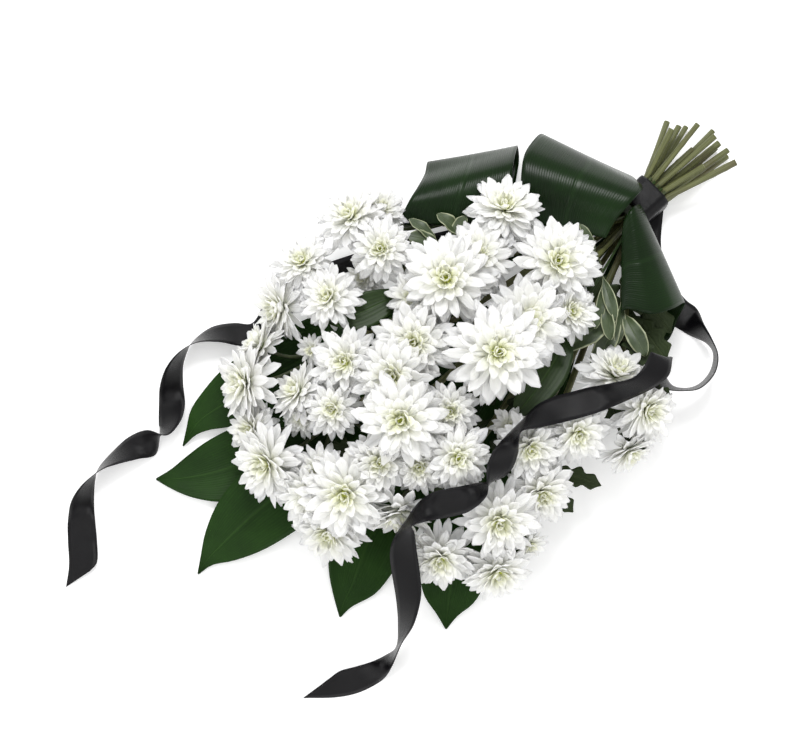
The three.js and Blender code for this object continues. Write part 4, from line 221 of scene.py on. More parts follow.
ROLLS = {
    "aspidistra_roll_01": [
        [[-116.8,78.0,52.0],[-87.0,110.3,53.0],[-57.2,142.6,54.0],1.4],
        [[-122.9,79.0,53.0],[-95.2,116.7,56.0],[-67.5,154.4,59.0],1.4],
        [[-128.4,92.4,57.0],[-103.1,129.4,60.0],[-77.9,166.4,63.0],1.4],
        [[-133.8,109.3,52.0],[-111.9,144.8,56.5],[-89.9,180.3,61.0],1.4],
        [[-141.5,125.0,34.0],[-121.9,161.1,36.0],[-102.3,197.2,38.0],1.4],
        [[-150.9,137.8,16.0],[-128.8,171.5,16.0],[-106.7,205.3,16.0],1.4],
        [[-147.6,142.1,3.6],[-123.6,171.4,3.4],[-99.5,200.6,3.2],1.4],
        [[-132.0,132.4,2.6],[-110.1,159.3,2.6],[-88.2,186.2,2.6],1.4],
        [[-97.6,129.2,2.8],[-85.4,146.9,2.8],[-73.2,164.7,2.8],1.4],
        [[-72.1,141.7,3.4],[-69.5,147.1,3.4],[-66.9,152.6,3.4],1.4],
        [[-41.9,171.7,4.0],[-43.1,172.6,4.0],[-44.3,173.5,4.0],2.6],
        [[-19.6,211.5,4.4],[-20.8,212.3,4.4],[-22.1,213.2,4.4],2.6],
        [[-4.9,227.2,5.0],[-6.3,227.5,5.0],[-7.8,227.9,5.0],2.6],
        [[-4.8,269.5,5.0],[-6.3,269.5,5.0],[-7.8,269.5,5.0],2.6],
    ],
    "aspidistra_roll_02": [
        [[-48.0,153.9,57.0],[-18.5,174.2,60.0],[10.9,194.4,63.0],1.4],
        [[-64.1,165.4,60.0],[-30.2,186.9,62.0],[3.8,208.3,64.0],1.4],
        [[-77.8,178.0,67.0],[-39.4,199.3,68.0],[-1.1,220.7,69.0],1.4],
        [[-89.4,192.7,64.0],[-46.8,213.0,66.0],[-4.1,233.3,68.0],1.4],
        [[-96.4,211.3,48.0],[-50.8,228.8,53.0],[-5.1,246.3,58.0],1.4],
        [[-99.1,225.0,30.0],[-53.8,238.7,38.0],[-8.5,252.5,46.0],1.4],
        [[-92.8,229.2,10.0],[-57.7,243.6,13.0],[-22.6,258.0,16.0],1.4],
        [[-78.5,225.9,3.0],[-52.4,238.9,3.6],[-26.3,252.0,4.2],1.4],
        [[-52.5,224.5,2.4],[-39.8,231.4,2.5],[-27.1,238.2,2.6],1.4],
        [[-30.4,226.6,3.0],[-26.7,227.9,3.0],[-22.9,229.2,3.0],1.4],
        [[-20.1,235.9,3.6],[-20.0,237.4,3.6],[-20.0,238.9,3.6],2.6],
        [[-9.0,227.1,5.0],[-10.4,227.5,5.0],[-11.8,228.0,5.0],2.6],
        [[-8.9,269.5,5.0],[-10.4,269.5,5.0],[-11.9,269.5,5.0],2.6],
    ],
    "aspidistra_roll_03": [
        [[20.0,205.1,60.0],[43.3,182.0,60.0],[66.7,159.0,60.0],1.4],
        [[10.7,216.1,63.0],[39.5,190.9,61.5],[68.2,165.7,60.0],1.4],
        [[7.5,227.1,66.0],[46.4,202.4,63.0],[85.3,177.7,60.0],1.4],
        [[7.8,234.8,60.0],[50.6,214.9,56.0],[93.3,195.0,52.0],1.4],
        [[9.7,239.1,50.0],[52.3,224.2,43.0],[94.9,209.2,36.0],1.4],
        [[25.8,237.3,30.0],[61.1,224.5,25.0],[96.4,211.7,20.0],1.4],
        [[44.0,232.5,9.0],[72.2,216.9,8.5],[100.4,201.2,8.0],1.4],
        [[49.5,224.5,2.8],[78.5,204.9,3.0],[107.5,185.3,3.2],1.4],
        [[49.1,216.3,2.4],[77.3,192.7,2.5],[105.5,169.0,2.6],1.4],
        [[40.4,214.9,2.4],[63.0,194.3,2.4],[85.5,173.8,2.4],1.4],
        [[36.8,211.0,2.6],[40.9,211.4,2.6],[44.9,211.8,2.6],1.4],
        [[27.7,229.9,3.4],[28.6,231.1,3.4],[29.5,232.3,3.4],2.6],
        [[16.5,227.1,5.0],[18.0,227.5,5.0],[19.4,227.9,5.0],2.6],
        [[16.5,269.5,5.0],[18.0,269.5,5.0],[19.5,269.5,5.0],2.6],
    ],
}
RIBBONS = {
    "ribbon_tail_left": [
        [[-16.7,255.6,0.3],[8.2,246.3,0.3]],
        [[-33.1,224.6,0.3],[-8.7,213.4,0.3]],
        [[-63.6,167.9,0.3],[-38.5,156.2,0.3]],
        [[-100.0,104.9,0.3],[-74.8,93.4,0.3]],
        [[-130.9,49.1,0.3],[-105.7,37.7,0.3]],
        [[-151.0,5.1,0.3],[-125.3,-1.8,0.3]],
        [[-161.7,-21.0,0.4],[-133.7,-25.2,0.4]],
        [[-163.0,-43.7,0.8],[-134.6,-43.4,0.8]],
        [[-152.0,-64.9,10.4],[-128.5,-65.7,0.8]],
        [[-153.3,-74.0,0.8],[-129.7,-80.7,7.6]],
        [[-163.5,-83.7,0.8],[-142.9,-94.4,11.0]],
        [[-173.8,-100.3,2.0],[-156.4,-106.0,19.5]],
        [[-176.0,-120.8,1.5],[-168.7,-122.3,25.8]],
        [[-172.4,-131.2,1.0],[-172.3,-138.9,25.3]],
        [[-165.6,-142.1,0.8],[-170.2,-155.2,22.1]],
        [[-153.8,-152.8,0.4],[-162.9,-169.4,17.4]],
        [[-137.2,-164.4,9.7],[-154.3,-180.6,0.4]],
        [[-127.8,-177.8,16.8],[-141.8,-191.9,0.8]],
        [[-125.1,-193.2,24.1],[-137.7,-194.2,2.0]],
        [[-142.0,-203.4,16.8],[-123.9,-211.4,1.0]],
        [[-151.1,-218.6,0.8],[-129.4,-225.9,11.9]],
        [[-151.3,-235.8,1.5],[-136.3,-241.5,21.2]],
        [[-149.0,-255.3,2.0],[-141.4,-255.6,26.3]],
        [[-142.4,-266.0,1.0],[-143.2,-275.0,24.7]],
        [[-131.4,-277.1,0.4],[-140.3,-291.2,19.5]],
        [[-115.9,-288.4,7.6],[-133.1,-305.7,0.3]],
        [[-102.0,-299.4,2.4],[-118.8,-318.4,0.3]],
        [[-88.0,-311.4,5.3],[-102.7,-331.5,0.3]],
        [[-86.4,-321.0,5.3],[-90.9,-345.4,0.3]],
    ],
    "ribbon_tail_right": [
        [[7.8,241.8,0.3],[17.5,266.9,0.3]],
        [[25.6,219.6,0.3],[39.9,241.5,0.3]],
        [[48.7,204.7,0.3],[55.3,230.3,0.3]],
        [[73.4,196.8,0.3],[74.9,223.5,0.3]],
        [[92.1,194.6,0.3],[92.4,221.2,0.3]],
        [[105.0,197.9,0.3],[104.8,222.7,0.3]],
        [[118.6,201.8,0.9],[119.9,212.3,24.0]],
        [[132.2,206.4,4.0],[134.4,207.0,29.3]],
        [[142.9,203.7,8.0],[147.5,200.8,32.8]],
        [[150.6,194.8,9.0],[155.7,191.4,33.6]],
        [[154.0,185.0,11.0],[159.1,180.5,35.5]],
        [[153.9,172.5,14.0],[158.4,166.3,38.3]],
        [[148.8,162.2,18.0],[151.0,154.8,42.3]],
        [[139.5,154.6,24.0],[141.3,144.4,47.2]],
        [[127.2,155.1,36.0],[132.1,138.0,54.1]],
        [[119.5,157.4,54.0],[121.4,134.9,65.6]],
        [[124.6,160.9,76.0],[115.8,141.5,89.9]],
        [[127.6,156.0,88.0],[111.1,145.2,104.0]],
        [[134.6,145.4,90.0],[115.5,133.2,101.4]],
        [[133.9,129.8,90.0],[116.7,119.8,105.8]],
        [[126.4,105.6,90.0],[108.0,102.7,107.2]],
        [[119.0,81.3,101.6],[97.0,89.7,92.0]],
        [[110.8,63.7,103.0],[89.4,74.7,95.0]],
        [[101.3,44.9,108.3],[82.6,60.0,100.0]],
        [[94.2,30.3,117.8],[78.7,45.0,104.0]],
        [[87.8,17.5,128.6],[79.6,28.0,107.0]],
        [[91.8,10.2,131.6],[80.3,11.3,109.0]],
        [[97.6,5.0,111.0],[83.4,-9.7,126.2]],
        [[103.7,-7.5,109.0],[88.9,-22.5,123.2]],
        [[102.7,-20.0,105.0],[98.1,-31.5,127.2]],
        [[92.4,-34.9,100.0],[106.1,-38.7,121.1]],
        [[83.3,-51.7,111.4],[104.2,-57.3,98.0]],
        [[73.8,-67.4,108.3],[94.1,-74.9,95.0]],
        [[70.0,-81.6,90.0],[86.2,-90.2,107.6]],
        [[73.1,-98.1,84.0],[81.9,-99.7,107.7]],
        [[76.8,-115.3,79.0],[85.9,-101.1,98.0]],
        [[83.2,-125.8,72.0],[98.7,-109.6,84.0]],
        [[96.5,-135.9,62.0],[112.4,-118.9,72.1]],
        [[112.6,-146.4,48.0],[126.5,-130.7,62.4]],
        [[127.6,-158.1,30.0],[139.0,-150.4,51.3]],
        [[140.9,-172.8,8.0],[143.6,-169.5,33.0]],
        [[139.7,-183.5,1.0],[151.0,-186.8,23.6]],
        [[135.0,-199.8,18.3],[153.0,-201.7,0.4]],
        [[129.2,-210.7,14.4],[147.6,-221.2,0.3]],
        [[123.5,-221.7,13.9],[137.9,-237.8,0.3]],
        [[121.3,-236.1,7.8],[118.1,-260.2,0.3]],
    ],
}
SPRIGS = {
    "pittosporum_sprig_01": {"twig": [[-4.8,269.5,25.9],[-4.8,227.5,25.9],[-19.2,213.3,36.0],[-29.5,186.2,44.0],[-48.6,162.4,46.0],[-61.7,136.5,50.0],[-72.4,103.5,60.0],[-85.4,77.9,64.0]],
        "leaves": [[-71.7,105.4,59.5,-102.1,101.7,70.0,7,25],[-76.0,95.5,61.6,-83.9,118.6,70.0,6.5,-20],[-81.9,84.5,63.1,-115.6,81.5,68.0,6,30],[-85.4,77.9,64.0,-101.3,58.9,62.0,8,-25],[-80.7,86.7,62.8,-104.9,70.4,70.0,7.5,10],[-68.8,114.1,56.9,-70.6,85.4,58.0,6,0]]},
    "pittosporum_sprig_02": {"twig": [[3.8,269.5,25.9],[3.8,227.5,25.9],[-1.2,208.1,46.0],[2.3,184.3,58.0],[22.9,175.4,66.0],[36.4,165.6,70.0],[50.8,155.0,72.0]],
        "leaves": [[15.4,178.0,63.6,-12.3,185.1,70.0,4,10],[33.6,167.8,69.3,68.8,149.0,76.0,5.5,10],[37.6,164.7,70.3,62.4,131.2,70.0,4.5,-15],[50.8,155.0,72.0,78.5,134.5,70.0,6,20]]},
    "pittosporum_sprig_03": {"twig": [[12.4,269.5,25.9],[12.4,227.5,25.9],[23.7,223.1,42.0],[36.2,196.1,46.0],[51.2,175.4,48.0],[65.8,162.3,50.0]],
        "leaves": [[65.8,162.3,50.0,107.9,149.0,58.0,8.5,5],[58.4,168.5,49.0,84.0,137.1,54.0,5,-20],[65.8,162.3,50.0,58.4,101.4,66.0,11,10],[65.8,162.3,50.0,86.1,106.9,52.0,9,0]]},
}

# ------------------------------------------------------------------ helpers
MM = 0.001
rng = np.random.default_rng(20)


def unit(v):
    v = np.asarray(v, float)
    return v / max(np.linalg.norm(v), 1e-12)


def spline(points, n):
    """n points on a smooth curve through the given ones (any number of columns), centripetal-like in length."""
    P = np.asarray(points, float)
    flat = P.reshape(len(P), -1)
    if len(P) == 2:
        t = np.linspace(0, 1, n)[:, None]
        return (flat[0] + (flat[1] - flat[0]) * t).reshape((n,) + P.shape[1:])
    d = np.sqrt(np.maximum(np.linalg.norm(np.diff(flat, axis=0), axis=1), 1e-9))
    k = np.concatenate([[0], np.cumsum(d)])
    ext = np.vstack([2 * flat[0] - flat[1], flat, 2 * flat[-1] - flat[-2]])
    ke = np.concatenate([[-d[0]], k, [k[-1] + d[-1]]])
    out = []
    for t in np.linspace(0, k[-1], n):
        i = min(max(int(np.searchsorted(k, t, side="right")) - 1, 0), len(P) - 2)
        p0, p1, p2, p3 = ext[i], ext[i + 1], ext[i + 2], ext[i + 3]
        t0, t1, t2, t3 = ke[i], ke[i + 1], ke[i + 2], ke[i + 3]
        a1 = (t1 - t) / (t1 - t0) * p0 + (t - t0) / (t1 - t0) * p1
        a2 = (t2 - t) / (t2 - t1) * p1 + (t - t1) / (t2 - t1) * p2
        a3 = (t3 - t) / (t3 - t2) * p2 + (t - t2) / (t3 - t2) * p3
        b1 = (t2 - t) / (t2 - t0) * a1 + (t - t0) / (t2 - t0) * a2
        b2 = (t3 - t) / (t3 - t1) * a2 + (t - t1) / (t3 - t1) * a3
        out.append((t2 - t) / (t2 - t1) * b1 + (t - t1) / (t2 - t1) * b2)
    return np.array(out).reshape((n,) + P.shape[1:])


class Soup:
    """Collects vertices, faces, UVs and material numbers for one mesh."""

    def __init__(self):
        self.v, self.f, self.m, self.uv, self.n = [], [], [], [], 0

    def add(self, verts, faces, uvs, mat):
        verts = np.asarray(verts, float)
        self.v.append(verts)
        self.uv.append(np.asarray(uvs, float))
        for q in faces:
            self.f.append(tuple(int(i) + self.n for i in q))
            self.m.append(mat)
        self.n += len(verts)

    def build(self, name, mats, smooth=True):
        me = bpy.data.meshes.new(name)
        v = np.vstack(self.v) * MM
        me.from_pydata(v.tolist(), [], self.f)
        for k in mats:
            me.materials.append(k)
        me.polygons.foreach_set("material_index", np.array(self.m, dtype=np.int32))
        me.polygons.foreach_set("use_smooth", np.full(len(self.f), smooth))
        uv = np.vstack(self.uv)
        lay = me.uv_layers.new(name="UVMap")
        idx = np.empty(len(me.loops), dtype=np.int32)
        me.loops.foreach_get("vertex_index", idx)
        lay.data.foreach_set("uv", uv[idx].astype(np.float32).ravel())
        me.update()
        ob = bpy.data.objects.new(name, me)
        bpy.context.scene.collection.objects.link(ob)
        return ob


def grid_faces(nu, nv):
    """Faces of a closed thin sheet with (nu+1)(nv+1) vertices a side: top side first, then the underside."""
    N = (nu + 1) * (nv + 1)
    g = lambda s, i, j: s * N + i * (nu + 1) + j
    F = []
    for i in range(nv):
        for j in range(nu):
            F.append((g(0, i, j), g(0, i, j + 1), g(0, i + 1, j + 1), g(0, i + 1, j)))
            F.append((g(1, i, j), g(1, i + 1, j), g(1, i + 1, j + 1), g(1, i, j + 1)))
    for i in range(nv):
        F.append((g(0, i, 0), g(0, i + 1, 0), g(1, i + 1, 0), g(1, i, 0)))
        F.append((g(0, i, nu), g(1, i, nu), g(1, i + 1, nu), g(0, i + 1, nu)))
    for j in range(nu):
        F.append((g(0, 0, j), g(1, 0, j), g(1, 0, j + 1), g(0, 0, j + 1)))
        F.append((g(0, nv, j), g(0, nv, j + 1), g(1, nv, j + 1), g(1, nv, j)))
    return F


_GF = {}


def sheet_solid(soup, P, thick, mat, uvs=None, floor=None):
    """P: (nv+1, nu+1, 3) points of the mid surface. thick: number or (nv+1,) array."""
    nv, nu = P.shape[0] - 1, P.shape[1] - 1
    du = np.gradient(P, axis=1)
    dv = np.gradient(P, axis=0)
    n = np.cross(du, dv)
    L = np.linalg.norm(n, axis=2, keepdims=True)
    n = n / np.maximum(L, 1e-9)
    t = np.broadcast_to(np.asarray(thick, float).reshape(-1, 1, 1) if np.ndim(thick) else thick, (nv + 1, nu + 1, 1)) / 2
    top, bot = P + n * t, P - n * t
    if floor is not None:
        top[..., 2] = np.maximum(top[..., 2], floor + 0.02)
        bot[..., 2] = np.maximum(bot[..., 2], floor)
    if uvs is None:
        u, v = np.meshgrid(np.linspace(0, 1, nu + 1), np.linspace(0, 1, nv + 1))
        uvs = np.stack([u, v], axis=2)
    if (nu, nv) not in _GF:
        _GF[(nu, nv)] = grid_faces(nu, nv)
    soup.add(np.vstack([top.reshape(-1, 3), bot.reshape(-1, 3)]), _GF[(nu, nv)],
             np.vstack([uvs.reshape(-1, 2)] * 2), mat)


def tube_solid(soup, path, radii, mat, sides=10, ridges=0.0, cut_mat=None, seed=0):
    """A closed tube with rings on the path; radii one number or one for each point."""
    P = np.asarray(path, float)
    n = len(P)
    R = np.broadcast_to(radii, (n,)).astype(float)
    T = np.gradient(P, axis=0)
    T /= np.linalg.norm(T, axis=1, keepdims=True)
    N = unit(np.cross([0.13, 0.21, 1.0], T[0]))
    V, UV = [], []
    L = np.concatenate([[0], np.cumsum(np.linalg.norm(np.diff(P, axis=0), axis=1))])
    a = np.linspace(0, 2 * np.pi, sides, endpoint=False)
    prof = 1 + ridges * np.cos(a * 5 + seed) + ridges * 0.6 * np.cos(a * 2 + 2.1 * seed)
    for i in range(n):
        N = unit(N - T[i] * np.dot(N, T[i]))
        B = np.cross(T[i], N)
        V.append(P[i] + R[i] * prof[:, None] * (np.cos(a)[:, None] * N + np.sin(a)[:, None] * B))
        UV.append(np.stack([a / (2 * np.pi), np.full(sides, L[i] / 60.0)], axis=1))
    F = []
    for i in range(n - 1):
        for j in range(sides):
            k = (j + 1) % sides
            F.append((i * sides + j, i * sides + k, (i + 1) * sides + k, (i + 1) * sides + j))
    soup.add(np.vstack(V), F, np.vstack(UV), mat)
    base = soup.n - n * sides
    # the two ends: a fan with its own centre vertex
    cm = mat if cut_mat is None else cut_mat
    for end, ring in ((0, list(range(sides))), (n - 1, [(n - 1) * sides + j for j in range(sides)])):
        soup.v.append(P[end][None])
        soup.uv.append(np.array([[0.5, 0.5]]))
        c = soup.n
        soup.n += 1
        for j in range(sides):
            k = (j + 1) % sides
            f = (base + ring[k], base + ring[j], c) if end == 0 else (base + ring[j], base + ring[k], c)
            soup.f.append(f)
            soup.m.append(cm if end == 0 else mat)


# ------------------------------------------------------------------ materials
def new_mat(name):
    m = bpy.data.materials.new(name)
    m.use_nodes = True
    nt = m.node_tree
    for n in list(nt.nodes):
        nt.nodes.remove(n)
    out = nt.nodes.new("ShaderNodeOutputMaterial")
    bs = nt.nodes.new("ShaderNodeBsdfPrincipled")
    nt.links.new(bs.outputs[0], out.inputs[0])
    return m, nt, bs


def node(nt, kind, **kw):
    n = nt.nodes.new(kind)
    for k, v in kw.items():
        if k.startswith("in_"):
            n.inputs[k[3:].replace("_", " ")].default_value = v
        else:
            setattr(n, k, v)
    return n


def ramp(nt, src, stops):
    r = nt.nodes.new("ShaderNodeValToRGB")
    e = r.color_ramp.elements
    while len(e) < len(stops):
        e.new(0.5)
    for i, (p, c) in enumerate(stops):
        e[i].position = p
        e[i].color = (*c, 1) if len(c) == 3 else c
    nt.links.new(src, r.inputs[0])
    return r


def mixc(nt, fac, a, b, mode="MIX"):
    m = nt.nodes.new("ShaderNodeMix")
    m.data_type = "RGBA"
    m.blend_type = mode
    for val, sock in ((fac, m.inputs[0]), (a, m.inputs[6]), (b, m.inputs[7])):
        if hasattr(val, "links") or hasattr(val, "is_linked"):
            nt.links.new(val, sock)
        elif isinstance(val, (int, float)):
            sock.default_value = val
        else:
            sock.default_value = (*val, 1)
    return m.outputs[2]


def math_(nt, op, a, b=None, c=None):
    m = nt.nodes.new("ShaderNodeMath")
    m.operation = op
    for i, v in enumerate((a, b, c)):
        if v is None:
            continue
        if isinstance(v, (int, float)):
            m.inputs[i].default_value = v
        else:
            nt.links.new(v, m.inputs[i])
    return m.outputs[0]


def bump(nt, bs, height, dist, strength=1.0):
    b = nt.nodes.new("ShaderNodeBump")
    b.inputs["Strength"].default_value = strength
    b.inputs["Distance"].default_value = dist
    nt.links.new(height, b.inputs["Height"])
    nt.links.new(b.outputs[0], bs.inputs["Normal"])
    return b


def uv_xy(nt):
    tc = nt.nodes.new("ShaderNodeTexCoord")
    sp = nt.nodes.new("ShaderNodeSeparateXYZ")
    nt.links.new(tc.outputs["UV"], sp.inputs[0])
    return tc, sp.outputs[0], sp.outputs[1]


def noise(nt, scale, detail=3, vec=None, rough=0.55):
    n = nt.nodes.new("ShaderNodeTexNoise")
    n.inputs["Scale"].default_value = scale
    n.inputs["Detail"].default_value = detail
    n.inputs["Roughness"].default_value = rough
    if vec is not None:
        nt.links.new(vec, n.inputs["Vector"])
    return n


def mat_petal():
    """UV: x across the petal 0..1, y along 0 (base) .. 1 (tip), plus the whorl number as a whole number."""
    m, nt, bs = new_mat("petal_white")
    tc, u, v = uv_xy(nt)
    whorl = math_(nt, "FLOOR", v)
    along = math_(nt, "FRACT", v)
    obj = tc.outputs["Object"]
    nz = noise(nt, 60, 3, obj)
    # white blade, creamy green towards the base
    c1 = ramp(nt, along, [(0.0, (0.86, 0.88, 0.66)), (0.25, (0.93, 0.935, 0.86)), (0.55, (0.965, 0.962, 0.945)), (1.0, (0.975, 0.972, 0.965))])
    # inner whorls are yellower
    w = math_(nt, "MULTIPLY", whorl, 0.2)
    c2 = ramp(nt, along, [(0.0, (0.80, 0.86, 0.28)), (0.40, (0.92, 0.945, 0.52)), (1.0, (0.97, 0.97, 0.86))])
    wf = ramp(nt, w, [(0.0, (0, 0, 0)), (0.55, (0.12, 0.12, 0.12)), (0.8, (0.75, 0.75, 0.75)), (1.0, (1, 1, 1))])
    col = mixc(nt, wf.outputs[0], c1.outputs[0], c2.outputs[0])
    tone = ramp(nt, nz.outputs[0], [(0.3, (0.975, 0.975, 0.97)), (0.7, (1, 1, 1))])
    col = mixc(nt, 1.0, col, tone.outputs[0], "MULTIPLY")
    nt.links.new(col, bs.inputs["Base Color"])
    bs.inputs["Roughness"].default_value = 0.52
    bs.inputs["Specular IOR Level"].default_value = 0.3
    bs.inputs["Subsurface Weight"].default_value = 0.55
    bs.inputs["Subsurface Radius"].default_value = (0.007, 0.0068, 0.0060)
    bs.inputs["Subsurface Scale"].default_value = 1.0
    # lengthwise grooves
    s = math_(nt, "SINE", math_(nt, "MULTIPLY", u, 6.2832 * 3.5))
    h = math_(nt, "MULTIPLY", s, 0.5)
    h = math_(nt, "ADD", h, math_(nt, "MULTIPLY", nz.outputs[0], 0.6))
    bump(nt, bs, h, 0.00028, 0.6)
    return m


def mat_centre():
    m, nt, bs = new_mat("floret_centre")
    tc, u, v = uv_xy(nt)
    nz = noise(nt, 320, 3, tc.outputs["Object"])
    c = ramp(nt, nz.outputs[0], [(0.3, (0.58, 0.66, 0.10)), (0.55, (0.74, 0.78, 0.18)), (0.8, (0.86, 0.86, 0.36))])
    nt.links.new(c.outputs[0], bs.inputs["Base Color"])
    bs.inputs["Roughness"].default_value = 0.6
    bs.inputs["Subsurface Weight"].default_value = 0.15
    bs.inputs["Subsurface Radius"].default_value = (0.003, 0.003, 0.001)
    bump(nt, bs, nz.outputs[0], 0.0005, 0.8)
    return m


def mat_stem(name, dark, light, brown):
    m, nt, bs = new_mat(name)
    tc, u, v = uv_xy(nt)
    mp = nt.nodes.new("ShaderNodeMapping")
    mp.inputs["Scale"].default_value = (22.0, 1.2, 1.0)
    nt.links.new(tc.outputs["UV"], mp.inputs[0])
    nz = noise(nt, 1.0, 4, mp.outputs[0])
    big = noise(nt, 26, 2, tc.outputs["Object"])
    c = ramp(nt, nz.outputs[0], [(0.28, dark), (0.62, light)])
    b = ramp(nt, big.outputs[0], [(0.48, (0, 0, 0)), (0.66, (1, 1, 1))])
    col = mixc(nt, math_(nt, "MULTIPLY", b.outputs[0], 0.6), c.outputs[0], brown)
    nt.links.new(col, bs.inputs["Base Color"])
    bs.inputs["Roughness"].default_value = 0.5
    bump(nt, bs, nz.outputs[0], 0.0006, 0.8)
    return m


def mat_cut():
    m, nt, bs = new_mat("stem_cut_end")
    tc, u, v = uv_xy(nt)
    nz = noise(nt, 500, 3, tc.outputs["Object"])
    c = ramp(nt, nz.outputs[0], [(0.3, (0.30, 0.33, 0.14)), (0.7, (0.52, 0.52, 0.30))])
    nt.links.new(c.outputs[0], bs.inputs["Base Color"])
    bs.inputs["Roughness"].default_value = 0.7
    bump(nt, bs, nz.outputs[0], 0.0005, 0.8)
    return m


def mat_leaf(name, dark, light, rough, veins, vein_gain, rib=(0.10, 0.18, 0.05), coat=0.25, spec=0.5, bump_d=0.0004):
    """UV: x across 0..1, y along in units of the leaf's length."""
    m, nt, bs = new_mat(name)
    tc, u, v = uv_xy(nt)
    obj = tc.outputs["Object"]
    big = noise(nt, 18, 3, obj)
    mp = nt.nodes.new("ShaderNodeMapping")
    mp.inputs["Scale"].default_value = (veins * 1.3, 2.2, 1.0)
    nt.links.new(tc.outputs["UV"], mp.inputs[0])
    streak = noise(nt, 1.0, 3, mp.outputs[0])
    wob = math_(nt, "MULTIPLY", big.outputs[0], 0.02)
    uu = math_(nt, "ADD", u, wob)
    s = math_(nt, "SINE", math_(nt, "MULTIPLY", uu, 6.2832 * veins))
    s01 = math_(nt, "MULTIPLY_ADD", s, 0.5, 0.5)
    base = ramp(nt, big.outputs[0], [(0.3, dark), (0.72, light)])
    col = mixc(nt, math_(nt, "MULTIPLY", s01, vein_gain), base.outputs[0], tuple(min(1, x * 2.1 + 0.006) for x in light))
    col = mixc(nt, math_(nt, "MULTIPLY", streak.outputs[0], 0.45), col, dark)
    # midrib
    d = math_(nt, "ABSOLUTE", math_(nt, "SUBTRACT", u, 0.5))
    mr = ramp(nt, d, [(0.0, (1, 1, 1)), (0.016, (0.7, 0.7, 0.7)), (0.03, (0, 0, 0))])
    col = mixc(nt, math_(nt, "MULTIPLY", mr.outputs[0], 0.45), col, rib)
    nt.links.new(col, bs.inputs["Base Color"])
    rr = math_(nt, "MULTIPLY_ADD", streak.outputs[0], 0.22, rough - 0.11)
    nt.links.new(rr, bs.inputs["Roughness"])
    bs.inputs["Specular IOR Level"].default_value = spec
    bs.inputs["Coat Weight"].default_value = coat
    bs.inputs["Coat Roughness"].default_value = 0.22
    h = math_(nt, "ADD", math_(nt, "MULTIPLY", s01, 0.35), math_(nt, "MULTIPLY", streak.outputs[0], 0.6))
    h = math_(nt, "SUBTRACT", h, math_(nt, "MULTIPLY", mr.outputs[0], 1.3))
    bump(nt, bs, h, bump_d, 0.85)
    return m


def mat_pitto():
    m, nt, bs = new_mat("pittosporum_leaf")
    tc, u, v = uv_xy(nt)
    obj = tc.outputs["Object"]
    nz = noise(nt, 70, 3, obj)
    fine = noise(nt, 420, 3, obj)
    d = math_(nt, "ABSOLUTE", math_(nt, "SUBTRACT", u, 0.5))
    d = math_(nt, "ADD", d, math_(nt, "MULTIPLY", math_(nt, "SUBTRACT", nz.outputs[0], 0.5), 0.10))
    body = ramp(nt, nz.outputs[0], [(0.3, (0.022, 0.040, 0.014)), (0.7, (0.060, 0.088, 0.034))])
    col = mixc(nt, math_(nt, "MULTIPLY", fine.outputs[0], 0.35), body.outputs[0], (0.085, 0.115, 0.055))
    edge = ramp(nt, d, [(0.41, (0, 0, 0)), (0.475, (1, 1, 1))])
    col = mixc(nt, edge.outputs[0], col, (0.40, 0.43, 0.27))
    d2 = math_(nt, "ABSOLUTE", math_(nt, "SUBTRACT", u, 0.5))
    mr = ramp(nt, d2, [(0.0, (1, 1, 1)), (0.035, (0, 0, 0))])
    col = mixc(nt, math_(nt, "MULTIPLY", mr.outputs[0], 0.5), col, (0.12, 0.16, 0.07))
    nt.links.new(col, bs.inputs["Base Color"])
    bs.inputs["Roughness"].default_value = 0.42
    h = math_(nt, "SUBTRACT", math_(nt, "MULTIPLY", fine.outputs[0], 0.5), mr.outputs[0])
    bump(nt, bs, h, 0.0003, 0.8)
    return m


def mat_satin():
    """Black satin: fine cross weave, broad soft sheen."""
    m, nt, bs = new_mat("black_satin")
    tc, u, v = uv_xy(nt)
    w1 = math_(nt, "SINE", math_(nt, "MULTIPLY", v, 6.2832 * 2.2))   # v is in mm
    w2 = math_(nt, "SINE", math_(nt, "MULTIPLY", u, 6.2832 * 60))
    nz = noise(nt, 40, 2, tc.outputs["Object"])
    h = math_(nt, "ADD", math_(nt, "MULTIPLY", w1, 0.5), math_(nt, "MULTIPLY", w2, 0.3))
    d = math_(nt, "ABSOLUTE", math_(nt, "SUBTRACT", u, 0.5))
    sel = ramp(nt, d, [(0.455, (0, 0, 0)), (0.47, (1, 1, 1))])
    base = ramp(nt, nz.outputs[0], [(0.3, (0.0022, 0.0020, 0.0026)), (0.7, (0.0038, 0.0035, 0.0044))])
    col = mixc(nt, math_(nt, "MULTIPLY", sel.outputs[0], 0.5), base.outputs[0], (0.010, 0.010, 0.012))
    nt.links.new(col, bs.inputs["Base Color"])
    bs.inputs["Roughness"].default_value = 0.29
    bs.inputs["Specular IOR Level"].default_value = 0.20
    bs.inputs["Anisotropic"].default_value = 0.5
    h = math_(nt, "ADD", h, math_(nt, "MULTIPLY", sel.outputs[0], 1.5))
    bump(nt, bs, h, 0.00006, 0.6)
    return m


def mat_tape():
    m, nt, bs = new_mat("floral_tape")
    tc, u, v = uv_xy(nt)
    nz = noise(nt, 260, 4, tc.outputs["Object"])
    c = ramp(nt, nz.outputs[0], [(0.3, (0.020, 0.030, 0.016)), (0.7, (0.045, 0.062, 0.034))])
    nt.links.new(c.outputs[0], bs.inputs["Base Color"])
    bs.inputs["Roughness"].default_value = 0.62
    bump(nt, bs, nz.outputs[0], 0.0004, 0.8)
    return m


